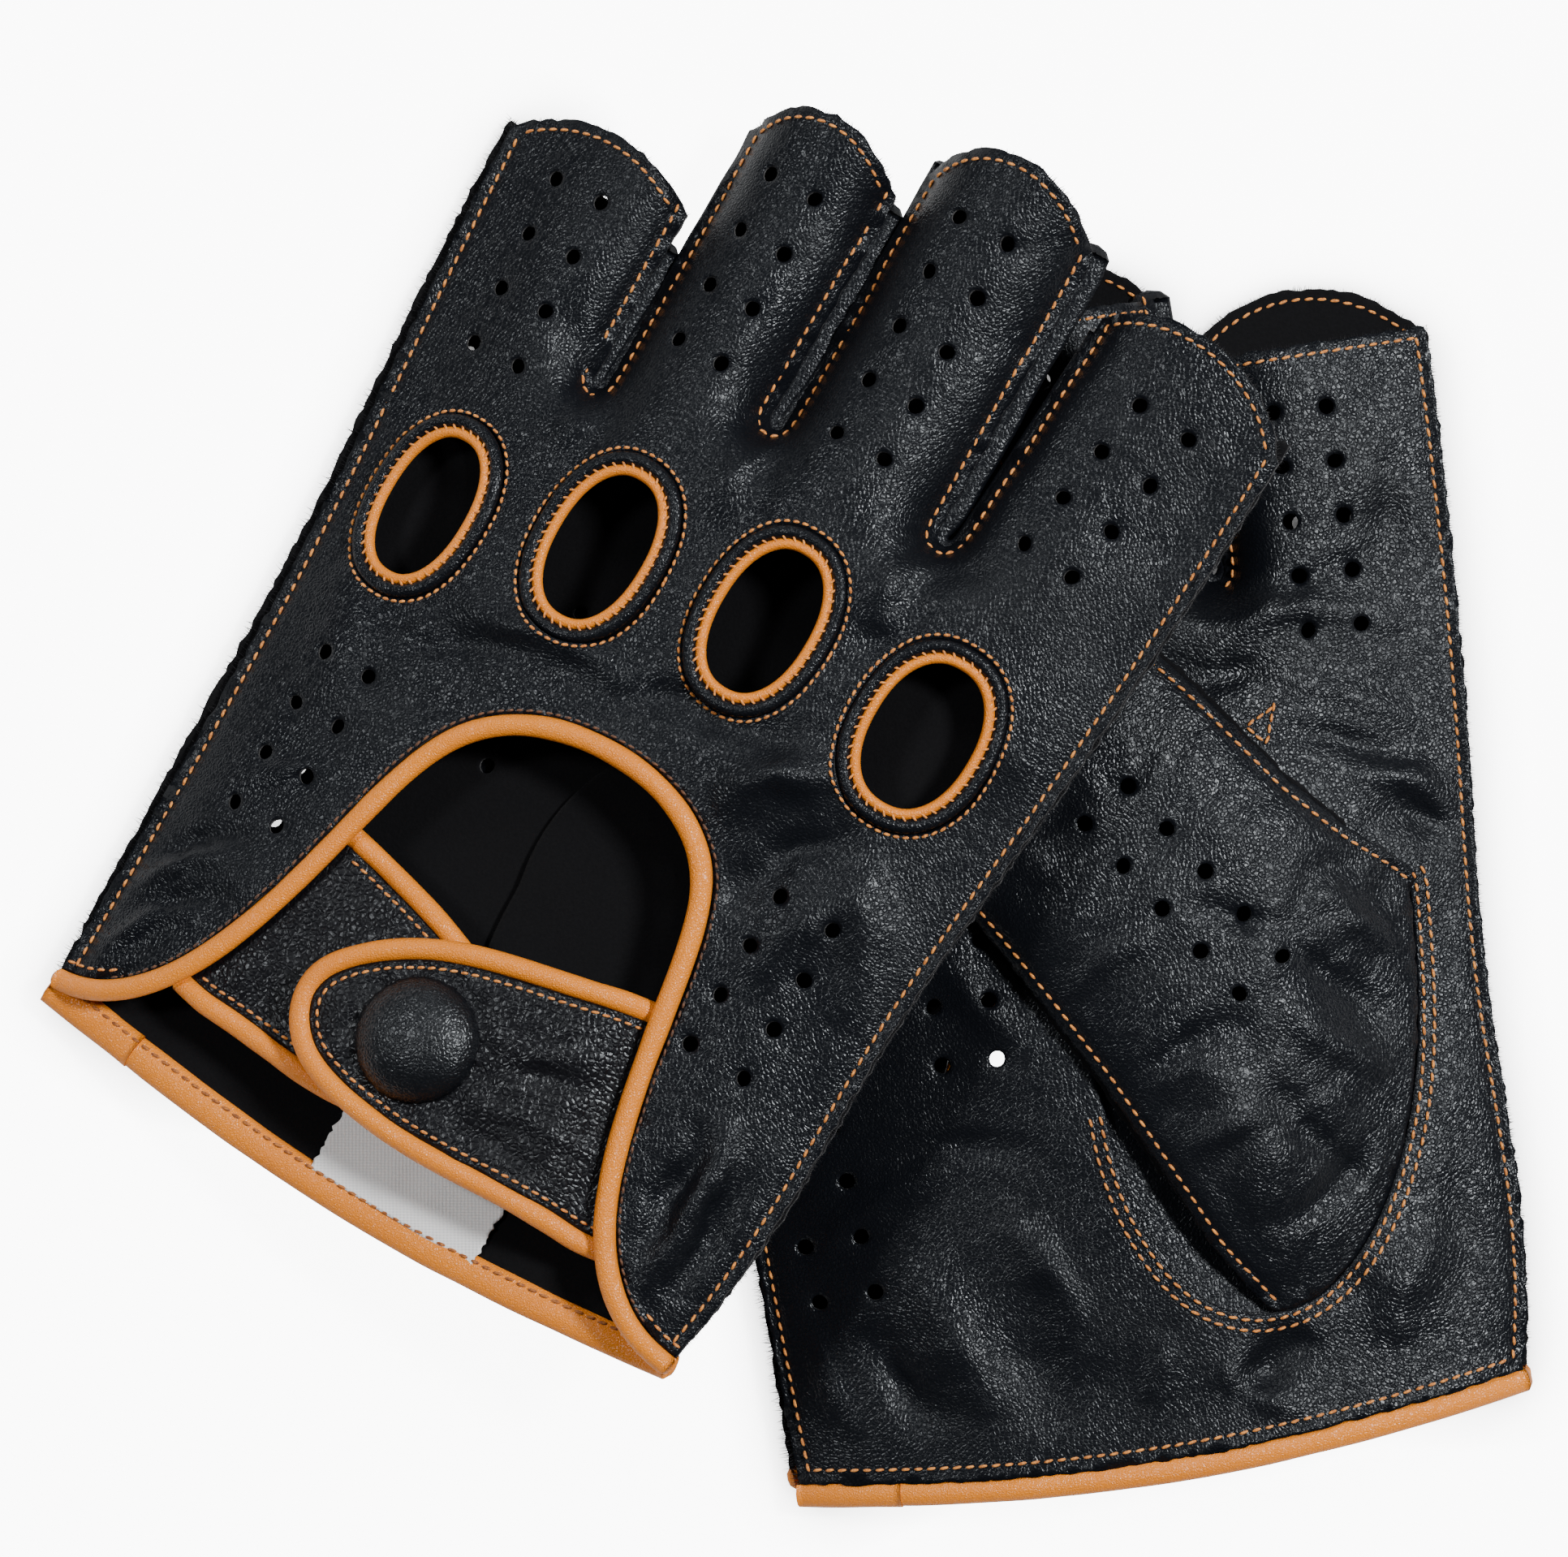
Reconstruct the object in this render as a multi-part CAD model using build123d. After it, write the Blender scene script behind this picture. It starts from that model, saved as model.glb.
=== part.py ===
from build123d import *
import math
import os

# A pair of fingerless leather driving gloves lying one over the other: the left glove, back up,
# leans on the right glove, which lies palm up. Millimetres, +Z up, origin at the centre of the
# pair's footprint, on the surface it lies on.
#
# Each glove is drawn in its own hand frame: X across the hand towards the index finger, Y from the
# cuff to the fingertips, origin at the middle of the cuff, Z = 0 on the outer face of the panel
# underneath. That lower panel is flat, the upper one is arched across the hand over it, and both
# gloves have the same plan seen from above. Depths called "low" and "high" are measured outwards
# from the inner face of a panel.

# ---------------------------------------------------------------- driving dimensions

LEATHER = 1.0  # thickness of a glove panel
CLEAR = 0.1  # clearance between neighbouring pieces
HALF_HAND = 54.1  # half the width the arch spans, at the index fingertip
ARCH_RISE = 8.8  # height of the arched panel over the flat one at mid hand
HAND_LENGTH = 150.0

LEFT_TURN, LEFT_ROLL = -30.65, 14.4  # how the left glove is turned and tilted, degrees
RIGHT_TURN = 9.0
LEFT_CUFF = (-98.6, 32.0, 13.16)  # middle of the left cuff from the middle of the right cuff

PIPING_WIDTH = 3.3  # rolled binding along the back opening
PIPING_DEPTH = (-0.9, 2.3)
HEM_WIDTH = 2.6  # rolled binding along the palm's cuff edge
HOLE_RADIUS = 1.0  # ventilation holes
THREAD_WIDTH, THREAD_DEPTH = 0.5, 0.35
SEAM_INSET = 1.3  # outseam stitch line from the raw edge

SNAP_AT = (0.1, 18.5)
CAP_RADIUS, CAP_HEIGHT = 8.1, 3.2
STRAP_PIPING = 3.0
STRAP_SINK = {"left": 1.0, "right": 3.5}  # how far the strap is pressed into the back opening

# Arched panel: a cylinder along Y whose inner face meets the flat panel's at the two side seams.
ARCH_RADIUS = (HALF_HAND**2 + ARCH_RISE**2) / (2 * ARCH_RISE)
ARCH_CENTRE_Z = LEATHER + CLEAR + ARCH_RISE - ARCH_RADIUS

# ---------------------------------------------------------------- outline points of the hand

# finger: left corner, top of the tip, right corner on the back, and the palm's shorter cut
FINGERS = {
    "little": {"left": (-51.8, 121.3), "top": (-39.0, 126.6), "right": (-26.4, 122.6), "palm": 117.5},
    "ring": {"left": (-24.7, 135.5), "top": (-14.5, 142.0), "right": (-4.3, 136.8), "palm": 131.0},
    "middle": {"left": (-2.3, 141.6), "top": (8.5, 148.8), "right": (21.0, 142.7), "palm": 139.0},
    "index": {"left": (26.0, 137.0), "top": (40.5, 141.0), "right": (54.0, 132.4), "palm": 130.5},
}
FINGER_ORDER = ["little", "ring", "middle", "index"]
# gap between two fingers: centre and radius of its round end
GAPS = {
    "little_ring": ((-24.95, 99.3), 1.0),
    "ring_middle": ((-2.8, 106.1), 1.1),
    "middle_index": ((23.1, 104.4), 1.3),
}
GAP_ORDER = ["little_ring", "ring_middle", "middle_index"]
LITTLE_SIDE = [(-46.2, 30), (-47.6, 70), (-50.2, 100)]
INDEX_SIDE = [(53.4, 112), (51.3, 80), (48.8, 48), (48.4, 18)]
OPENING_EDGE = [
    (-46.0, 1.2), (-36.0, 5.0), (-27.0, 18.0), (-20.3, 40.0), (-14.0, 54.0), (3.0, 60.5),
    (18.5, 55.0), (23.3, 42.0), (27.6, 20.0), (35.5, 4.6), (46.0, -0.3),
]
PALM_EDGE = [(-45.2, 0.9), (-25.0, -1.6), (0.0, -2.9), (22.0, -1.9), (45.6, 0.9)]

# knuckle hole: centre and half axes of the clear opening
KNUCKLES = [
    ((-34.7, 75.3), (5.4, 9.1)),
    ((-12.0, 81.7), (5.8, 9.4)),
    ((10.7, 84.1), (5.7, 9.3)),
    ((34.3, 81.8), (6.1, 9.2)),
]
KNUCKLE_PIPING, KNUCKLE_COLLAR = 1.4, 1.6
KNUCKLE_DEPTH = (-0.3, 2.3)

# two columns of ventilation holes: first and last hole of one column, rows, step to the other column
BACK_HOLES = [
    ((-42.7, 118.2), (-41.0, 95.6), 4, (7.0, 0.2)),
    ((-18.4, 131.8), (-17.7, 108.6), 4, (6.6, 0.0)),
    ((5.4, 138.7), (6.1, 108.4), 5, (6.9, 0.1)),
    ((36.2, 129.9), (32.8, 108.3), 4, (7.1, -0.6)),
    ((-36.5, 53.4), (-36.8, 31.8), 4, (6.7, 0.1)),
    ((29.3, 56.2), (29.0, 35.2), 4, (7.6, -0.3)),
]
PALM_HOLES = [
    ((-42.0, 110.0), (-41.0, 92.0), 4, (6.8, 0.2)),
    ((-18.0, 124.0), (-17.7, 103.0), 4, (6.6, 0.0)),
    ((5.8, 131.0), (6.2, 103.0), 5, (6.8, 0.1)),
    ((33.3, 122.7), (33.4, 95.5), 5, (6.7, -0.2)),
    ((-41.2, 43.9), (-39.2, 22.8), 4, (7.0, 0.3)),
    ((-19.4, 71.5), (-19.7, 49.5), 4, (6.8, -0.2)),
]
THUMB_HOLES = [((-1.9, 82.2), (17.5, 52.7), 6, (6.0, 3.7))]

# thumb: U-shaped seam in the palm, and the free thumb lying across the palm
THUMB_SEAM = [
    (43.3, 63.5), (42.4, 52.0), (39.4, 36.0), (33.0, 22.0), (24.0, 13.0),
    (14.8, 10.8), (7.0, 13.8), (0.3, 23.0), (-2.6, 34.0), (-2.9, 41.0),
]
THUMB_SEAM_TOP = (16.0, 73.0)
THUMB_ROWS = (0.0, 1.3)  # the double row of stitching, inwards from the seam
THUMB_HOLE_INSET = 2.2
THUMB_BASE_LEFT, THUMB_TIP_LEFT = (9.0, 24.0), (-21.5, 81.0)
THUMB_TIP_TOP, THUMB_TIP_RIGHT = (-8.5, 93.5), (8.0, 101.0)
THUMB_INNER_SIDE = [(15.5, 94.0), (24.5, 82.5), (33.0, 72.0)]
THUMB_BASE_RIGHT = (38.0, 61.0)
THUMB_PIVOT = (25.0, 40.0)
THUMB_TOUCH_X = 8.0  # where the thumb's flat underside touches the arched palm
THUMB_FRONT, THUMB_BACK = (0.45, 1.25), (1.3, 3.4)
THUMB_SKIN = 0.9
FOURCHETTE = 0.5

# strap and under tab: middle of the piping round each, from its hinge end and back to it
STRAP_EDGE = [
    (19.0, 35.7), (8.0, 33.1), (-3.0, 29.8), (-12.0, 24.1), (-16.1, 17.6), (-13.2, 11.2),
    (-5.0, 7.7), (6.0, 6.7), (28.6, 7.1),
]
TAB_EDGE = [
    (-17.0, 35.2), (-9.0, 33.3), (0.0, 30.3), (7.0, 25.5), (9.0, 18.0), (6.5, 11.5),
    (-1.0, 8.0), (-12.0, 7.3), (-27.0, 8.3),
]
STRAP_LINING, STRAP_OUTER, STRAP_PIPING_DEPTH = (0.6, 1.4), (1.45, 2.25), (-0.2, 2.9)
TAB_LINING, TAB_OUTER, TAB_PIPING_DEPTH = (-2.75, -1.95), (-1.9, -1.1), (-3.0, -0.9)
POST_FLANGE = (-3.2, -2.9)

LABEL_SIZE, LABEL_THICK = (24.0, 12.0), 0.3
LABEL_AT = (6.0, 6.4)

# ---------------------------------------------------------------- plan helpers


def parallel(curve, distance, count=18):
    """A spline beside a curve, to its left, so that a band has two smooth edges."""
    points = []
    for i in range(count + 1):
        at, along = curve @ (i / count), curve % (i / count)
        points.append((at.X - along.Y * distance, at.Y + along.X * distance))
    return Spline(*points)


def between(first, second):
    """The face between two curves that run the same way."""
    ends = [Line(first @ 0, second @ 0), Line(first @ 1, second @ 1)]
    return make_face(Curve() + [first, second] + ends)


def band(points, width):
    """A band of even width along a smooth line."""
    middle = Spline(*points)
    return between(parallel(middle, width / 2), parallel(middle, -width / 2))


def oval_ring(centre, half_axes, inset, width):
    """A ring round an ellipse that starts inset outside it."""
    outer = Ellipse(half_axes[0] + inset + width, half_axes[1] + inset + width)
    inner = Ellipse(half_axes[0] + inset, half_axes[1] + inset)
    return Pos(*centre) * (outer - inner)


def hole_columns(groups):
    """Ventilation holes in pairs of columns."""
    holes = Sketch()
    for first, last, rows, step in groups:
        for row in range(rows):
            share = row / (rows - 1)
            x = first[0] + (last[0] - first[0]) * share
            y = first[1] + (last[1] - first[1]) * share
            for column in range(2):
                holes += Pos(x + step[0] * column, y + step[1] * column) * Circle(HOLE_RADIUS)
    return holes


def tangent_point(point, centre, radius, side):
    """Where a line from a point touches a circle on its left (side 1) or right (side -1)."""
    away = Vector(*point) - Vector(*centre)
    turn = math.acos(radius / away.length) * side
    direction = away.normalized()
    x = direction.X * math.cos(turn) - direction.Y * math.sin(turn)
    y = direction.X * math.sin(turn) + direction.Y * math.cos(turn)
    return Vector(centre[0] + radius * x, centre[1] + radius * y)


def gap_sides(gap):
    """The straight sides of a finger gap, each from a finger's corner to the gap's round end."""
    number = GAP_ORDER.index(gap)
    centre, radius = GAPS[gap]
    left_corner = FINGERS[FINGER_ORDER[number]]["right"]
    right_corner = FINGERS[FINGER_ORDER[number + 1]]["left"]
    left_foot = tangent_point(left_corner, centre, radius, 1)
    right_foot = tangent_point(right_corner, centre, radius, -1)
    return (Vector(*left_corner), left_foot), (right_foot, Vector(*right_corner))


def at_height(top, foot, height):
    """The point of a finger's side at a given distance from the cuff."""
    share = (height - foot.Y) / (top.Y - foot.Y)
    return foot + (top - foot) * share


def hand_outline(bottom, palm):
    """The hand's outline above a bottom edge that runs from the little to the index side."""
    edges = [bottom]
    start = Vector(*FINGERS["little"]["left"])
    end = Vector(*FINGERS["index"]["right"])
    if palm:
        start = Vector(start.X + 0.4, FINGERS["little"]["palm"])
        end = Vector(end.X, FINGERS["index"]["palm"])
    edges.append(Spline(bottom @ 0, *LITTLE_SIDE, start))
    corner = start
    for number, finger in enumerate(FINGER_ORDER):
        size = FINGERS[finger]
        if number == 3:
            right = end
        else:
            centre, radius = GAPS[GAP_ORDER[number]]
            (left_top, left_foot), (right_foot, right_top) = gap_sides(GAP_ORDER[number])
            right = at_height(left_top, left_foot, size["palm"]) if palm else left_top
        if palm:
            edges.append(Line(corner, right))
        else:
            edges.append(ThreePointArc(corner, size["top"], right))
        if number < 3:
            edges.append(Line(right, left_foot))
            edges.append(ThreePointArc(left_foot, (centre[0], centre[1] - radius), right_foot))
            next_height = FINGERS[FINGER_ORDER[number + 1]]["palm"]
            corner = at_height(right_top, right_foot, next_height) if palm else right_top
            edges.append(Line(right_foot, corner))
    edges.append(Spline(end, *INDEX_SIDE, bottom @ 1))
    return make_face(Curve() + edges)


def gap_strip(gap, outer, inner):
    """A strip round a finger gap, between two distances inwards from the gap's edge."""
    centre, radius = GAPS[gap]
    sides = gap_sides(gap)
    rims = []
    for inset in (outer, inner):
        moved = []
        for start, end in sides:
            along = (end - start).normalized()
            shift = Vector(-along.Y, along.X) * inset
            moved.append((start + shift, end + shift))
        low = (centre[0], centre[1] - radius + inset)
        rims.append((moved[0][0], moved[0][1], low, moved[1][0], moved[1][1]))
    edges = []
    for left_top, left_foot, low, right_foot, right_top in rims:
        edges.append(Line(left_top, left_foot))
        edges.append(ThreePointArc(left_foot, low, right_foot))
        edges.append(Line(right_foot, right_top))
    edges.append(Line(rims[0][0], rims[1][0]))
    edges.append(Line(rims[0][4], rims[1][4]))
    return make_face(Curve() + edges)


def thumb_opening(inset):
    """The egg-shaped opening in the palm that the thumb is sewn into."""
    seam = parallel(Spline(*THUMB_SEAM), -inset)
    top = (THUMB_SEAM_TOP[0], THUMB_SEAM_TOP[1] - inset)
    return make_face(Curve() + [seam, ThreePointArc(seam @ 1, top, seam @ 0)])


def thumb_plan(inset, overrun):
    """The free thumb, narrowed by inset at its sides and lengthened by overrun at both ends."""
    axis = (Vector(*THUMB_TIP_LEFT) - Vector(*THUMB_BASE_LEFT)).normalized()
    across = Vector(axis.Y, -axis.X) * inset
    further = axis * overrun
    base_left = Vector(*THUMB_BASE_LEFT) + across - further
    tip_left = Vector(*THUMB_TIP_LEFT) + across + further
    tip_right = Vector(*THUMB_TIP_RIGHT) - across + further
    base_right = Vector(*THUMB_BASE_RIGHT) - across - further
    inner = [Vector(*point) - across for point in THUMB_INNER_SIDE]
    edges = [
        Line(base_left, tip_left),
        ThreePointArc(tip_left, Vector(*THUMB_TIP_TOP) + further, tip_right),
        Spline(tip_right, *inner, base_right),
        Line(base_right, base_left),
    ]
    return make_face(Curve() + edges)


def flap_plan(points, width):
    """The leather inside the piping of a strap, closed along its hinge end."""
    edge = parallel(Spline(*points), width / 2 + CLEAR / 2)
    return make_face(Curve() + [edge, Line(edge @ 1, edge @ 0)])


def thread_line(curve, offset=0.0):
    """A thread laid along a curve, offset to its left."""
    inner = parallel(curve, offset - THREAD_WIDTH / 2)
    return between(parallel(curve, offset + THREAD_WIDTH / 2), inner)


# ---------------------------------------------------------------- solids on the two faces

REACH = 60.0  # taller than any stack of layers


def arch_height(x, depth):
    """Height of the arched face at x, depth outside its inner face."""
    return ARCH_CENTRE_Z + math.sqrt((ARCH_RADIUS + depth) ** 2 - x**2)


def arch_core(depth):
    """Everything below the arched face."""
    at = Pos(0, HAND_LENGTH / 2, ARCH_CENTRE_Z)
    return at * Cylinder(ARCH_RADIUS + depth, 3 * HAND_LENGTH, rotation=(90, 0, 0))


def arched(plan, low, high):
    """A plan laid over the arched face, from low to high outside its inner face."""
    prism = extrude(Pos(0, 0, -REACH / 3) * plan, REACH)
    return (prism & arch_core(high)) - arch_core(low)


def flat(plan, low, high):
    """A plan laid under the flat face, from low to high outside its inner face."""
    return extrude(Pos(0, 0, LEATHER - high) * plan, high - low)


class Glove:
    """One glove in its hand frame. The upper face is the back on the left glove, the palm on the right."""

    def __init__(self, side):
        self.side = side
        self.back, self.palm = (arched, flat) if side == "left" else (flat, arched)
        self.sink = STRAP_SINK[side]
        self.parts = {}

    def add(self, name, shape):
        """Keeps a piece's solids, named for its glove."""
        self.parts[f"{self.side}_{name}"] = Compound(shape.solids())

    def add_back(self, name, plan, depths, sink=0.0):
        """A piece on the back of the hand."""
        self.add(name, self.back(plan, depths[0] - sink, depths[1] - sink))

    def back_point(self, x, y, depth):
        """A point over the back of the hand."""
        return Vector(x, y, arch_height(x, depth) if self.side == "left" else LEATHER - depth)

    def snap_frame(self):
        """Axes at the snap, with Z outwards from the back's inner face, sunk with the strap."""
        origin = self.back_point(*SNAP_AT, -self.sink)
        return Pos(*origin) * Rot(0 if self.side == "left" else 180, 0, 0)

    def thumb_frame(self):
        """Axes on the palm under the thumb, with Z outwards."""
        if self.side == "left":
            return Location()
        slope = math.degrees(math.asin(THUMB_TOUCH_X / (ARCH_RADIUS + LEATHER)))
        touch = Pos(THUMB_TOUCH_X, 0, arch_height(THUMB_TOUCH_X, LEATHER))
        return touch * Rot(0, slope, 0) * Pos(-THUMB_TOUCH_X, 0, 0)

    def thumb_layer(self, plan, depths):
        """A plan laid on the thumb, outside the palm's outer face."""
        low = -depths[1] if self.side == "left" else depths[0]
        return self.thumb_frame() * extrude(Pos(0, 0, low) * plan, depths[1] - depths[0])


# ---------------------------------------------------------------- the pieces of one glove


def add_panels(glove):
    """Back, palm, the strips between the fingers and the label."""
    edge = parallel(Spline(*OPENING_EDGE), PIPING_WIDTH / 2 + CLEAR / 2)
    back = hand_outline(edge, palm=False) - hole_columns(BACK_HOLES)
    collar = KNUCKLE_PIPING + KNUCKLE_COLLAR + CLEAR
    for centre, half_axes in KNUCKLES:
        back -= Pos(*centre) * Ellipse(half_axes[0] + collar, half_axes[1] + collar)
    glove.add_back("back_panel", back, (0, LEATHER))

    palm = hand_outline(Spline(*PALM_EDGE), palm=True) - hole_columns(PALM_HOLES)
    palm -= thumb_opening(THUMB_HOLE_INSET)
    glove.add("palm_panel", glove.palm(palm, 0, LEATHER))

    for gap in GAP_ORDER:
        strip = gap_strip(gap, CLEAR, CLEAR + FOURCHETTE)
        wall = extrude(strip, REACH) & arch_core(LEATHER)
        glove.add(f"fourchette_{gap}", wall)

    label = Pos(*LABEL_AT) * Rectangle(*LABEL_SIZE)
    glove.add("label", glove.palm(label, -CLEAR - LABEL_THICK, -CLEAR))


def add_bindings(glove):
    """The rolled tan bindings of the back opening, the palm's hem and the knuckle holes."""
    glove.add_back("opening_piping", band(OPENING_EDGE, PIPING_WIDTH), PIPING_DEPTH)
    hem = Spline(*PALM_EDGE)
    hem_band = between(parallel(hem, -CLEAR), parallel(hem, -CLEAR - HEM_WIDTH))
    glove.add("cuff_piping", glove.palm(hem_band, *PIPING_DEPTH))

    pipings, collars = Sketch(), Sketch()
    for centre, half_axes in KNUCKLES:
        pipings += oval_ring(centre, half_axes, 0, KNUCKLE_PIPING)
        collars += oval_ring(centre, half_axes, KNUCKLE_PIPING + CLEAR / 2, KNUCKLE_COLLAR)
    glove.add_back("knuckle_pipings", pipings, KNUCKLE_DEPTH)
    glove.add_back("knuckle_collars", collars, KNUCKLE_DEPTH)


def add_thumb(glove):
    """The gusset sewn into the palm, and the free thumb's two leathers."""
    gusset = thumb_opening(THUMB_HOLE_INSET + CLEAR)
    glove.add("thumb_gusset", glove.palm(gusset, 0, LEATHER))

    glove.add("thumb_front", glove.thumb_layer(thumb_plan(0, 0), THUMB_FRONT))
    low, high = THUMB_BACK
    shell = glove.thumb_layer(thumb_plan(0, 0) - hole_columns(THUMB_HOLES), THUMB_BACK)
    pocket = thumb_plan(THUMB_SKIN, 2 * THUMB_SKIN)
    shell -= glove.thumb_layer(pocket, (low - CLEAR, high - THUMB_SKIN))
    glove.add("thumb_back", shell)


def add_strap(glove):
    """The strap, the tab under it and the snap that joins them."""
    sink = glove.sink
    hole = Pos(*SNAP_AT) * Circle(1.75)
    strap = flap_plan(STRAP_EDGE, STRAP_PIPING) - hole
    glove.add_back("strap_outer", strap, STRAP_OUTER, sink)
    glove.add_back("strap_lining", strap, STRAP_LINING, sink)
    glove.add_back("strap_piping", band(STRAP_EDGE, STRAP_PIPING), STRAP_PIPING_DEPTH, sink)

    tab = flap_plan_reversed(TAB_EDGE, STRAP_PIPING) - hole
    glove.add_back("under_tab_outer", tab, TAB_OUTER, sink)
    glove.add_back("under_tab_lining", tab, TAB_LINING, sink)
    glove.add_back("under_tab_piping", band(TAB_EDGE, STRAP_PIPING), TAB_PIPING_DEPTH, sink)

    for name, shape in snap_pieces().items():
        glove.add(name, glove.snap_frame() * shape)


def flap_plan_reversed(points, width):
    """As flap_plan, for an edge that runs the other way round its flap."""
    return flap_plan(points[::-1], width)


def disc(radius, low, high):
    """A round plate from low to high."""
    return Pos(0, 0, (low + high) / 2) * Cylinder(radius, high - low)


def snap_pieces():
    """The four parts of a press snap, with Z = 0 on the inner face of the back."""
    cap_base = STRAP_OUTER[1] + 2 * CLEAR
    cap_ball = (CAP_RADIUS**2 + CAP_HEIGHT**2) / (2 * CAP_HEIGHT)
    dome = Pos(0, 0, cap_base + CAP_HEIGHT - cap_ball) * Sphere(cap_ball)
    dome &= disc(CAP_RADIUS, cap_base, cap_base + CAP_HEIGHT)
    cap = dome + disc(1.45, 0.4, cap_base + CLEAR)

    socket = disc(5.25, -0.75, 0.45) - disc(2.8, -0.75, 0.3) - disc(1.6, 0.0, 0.45)

    stud = disc(4.6, -1.05, -0.8) + disc(2.45, -0.8, -0.35) + disc(2.6, -0.35, 0.15)
    stud -= disc(1.65, -1.05, -0.15)

    post = disc(4.75, *POST_FLANGE) + disc(1.55, POST_FLANGE[1], -0.25)
    return {"snap_cap": cap, "snap_socket": socket, "snap_stud": stud, "snap_post": post}


def joined(shapes):
    """One shape from many."""
    whole = Part()
    for shape in shapes:
        whole += shape
    return whole


def outseam(bottom, palm):
    """The threads round a panel: both sides, the cuff end, the finger gaps and the fingertips."""
    outline = hand_outline(bottom, palm)
    middle = -SEAM_INSET - THREAD_WIDTH / 2
    tip = "palm" if palm else "top"
    little = Spline(bottom @ 0, *LITTLE_SIDE, FINGERS["little"]["left"])
    index = Spline(FINGERS["index"]["right"], *INDEX_SIDE, bottom @ 1)
    seams = [thread_line(little, middle), thread_line(index, middle), thread_line(bottom, -middle)]
    seams += [gap_strip(gap, -SEAM_INSET - THREAD_WIDTH, -SEAM_INSET) for gap in GAP_ORDER]
    for finger in FINGER_ORDER:
        left, right = FINGERS[finger]["left"], FINGERS[finger]["right"]
        if palm:
            height = FINGERS[finger][tip]
            seams.append(thread_line(Line((left[0], height), (right[0], height)), middle))
        else:
            arc = ThreePointArc(left, FINGERS[finger][tip], right)
            seams.append(thread_line(arc, middle))
    return [seam & outline for seam in seams]


def add_threads(glove):
    """Stitching, one thread for each seam, laid on the outer face of the leather it holds."""
    depth = (LEATHER + CLEAR / 2, LEATHER + CLEAR / 2 + THREAD_DEPTH)

    edge = parallel(Spline(*OPENING_EDGE), PIPING_WIDTH / 2 + CLEAR / 2)
    rings = Sketch()
    for centre, half_axes in KNUCKLES:
        rings += oval_ring(centre, half_axes, KNUCKLE_PIPING + KNUCKLE_COLLAR + 3 * CLEAR, THREAD_WIDTH)
    glove.add("back_thread", joined(glove.back(seam, *depth) for seam in [rings, *outseam(edge, False)]))

    seams = outseam(Spline(*PALM_EDGE), True)
    seams += [thread_line(Spline(*THUMB_SEAM), -row) for row in THUMB_ROWS]
    glove.add("palm_thread", joined(glove.palm(seam, *depth) for seam in seams))

    side = Line(THUMB_BASE_LEFT, THUMB_TIP_LEFT)
    inner = Spline(THUMB_TIP_RIGHT, *THUMB_INNER_SIDE, THUMB_BASE_RIGHT)
    seam = thread_line(side, -SEAM_INSET) + thread_line(inner, -SEAM_INSET)
    outer_face = THUMB_BACK[1] + CLEAR / 2
    glove.add("thumb_thread", glove.thumb_layer(seam, (outer_face, outer_face + THREAD_DEPTH)))

    for name, points, face in (
        ("strap_thread", STRAP_EDGE, STRAP_OUTER[1]),
        ("under_tab_thread", TAB_EDGE[::-1], TAB_OUTER[1]),
    ):
        seam = thread_line(Spline(*points), STRAP_PIPING / 2 + 1.0)
        on_face = (face + CLEAR / 2, face + CLEAR / 2 + THREAD_DEPTH)
        glove.add_back(name, seam, on_face, glove.sink)


def make_glove(side):
    """All the pieces of one glove, in its hand frame."""
    glove = Glove(side)
    for step in (add_panels, add_bindings, add_thumb, add_strap, add_threads):
        step(glove)
    return glove


# ---------------------------------------------------------------- the pair

PLACES = {
    "left": Pos(*LEFT_CUFF) * Rot(0, 0, LEFT_TURN) * Rot(0, -LEFT_ROLL, 0),
    "right": Pos(0, 0, PIPING_DEPTH[1] - LEATHER) * Rot(0, 0, RIGHT_TURN),
}


def make_pair():
    """Every piece in place, before the origin moves to the centre of the footprint."""
    placed = {}
    for side, place in PLACES.items():
        for name, shape in make_glove(side).parts.items():
            placed[name] = place * shape
    return placed


def footprint_origin(placed):
    """The centre of the pair's footprint."""
    box = Compound(children=[Compound(shape.solids()) for shape in placed.values()]).bounding_box()
    return Vector((box.min.X + box.max.X) / 2, (box.min.Y + box.max.Y) / 2, box.min.Z)


if __name__ == "__main__":
    os.makedirs("parts", exist_ok=True)
    pieces = make_pair()
    origin = footprint_origin(pieces)
    for node, piece in pieces.items():
        export_step(Pos(*(-origin)) * piece, f"parts/{node}.step")
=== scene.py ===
"""A pair of fingerless leather driving gloves: the left one, back up, lies on the right one, palm up.

Every soft piece is built in its glove's hand frame, in millimetres: X across the hand towards the
index finger, Y from the cuff to the fingertips, Z up. Plans come from the CAD nodes' outlines, and
heights from an inflated skin stretched between the glove's side seams.
"""
import math

import bpy
import numpy as np
from mathutils import Matrix, Vector
from mathutils.geometry import delaunay_2d_cdt


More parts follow.
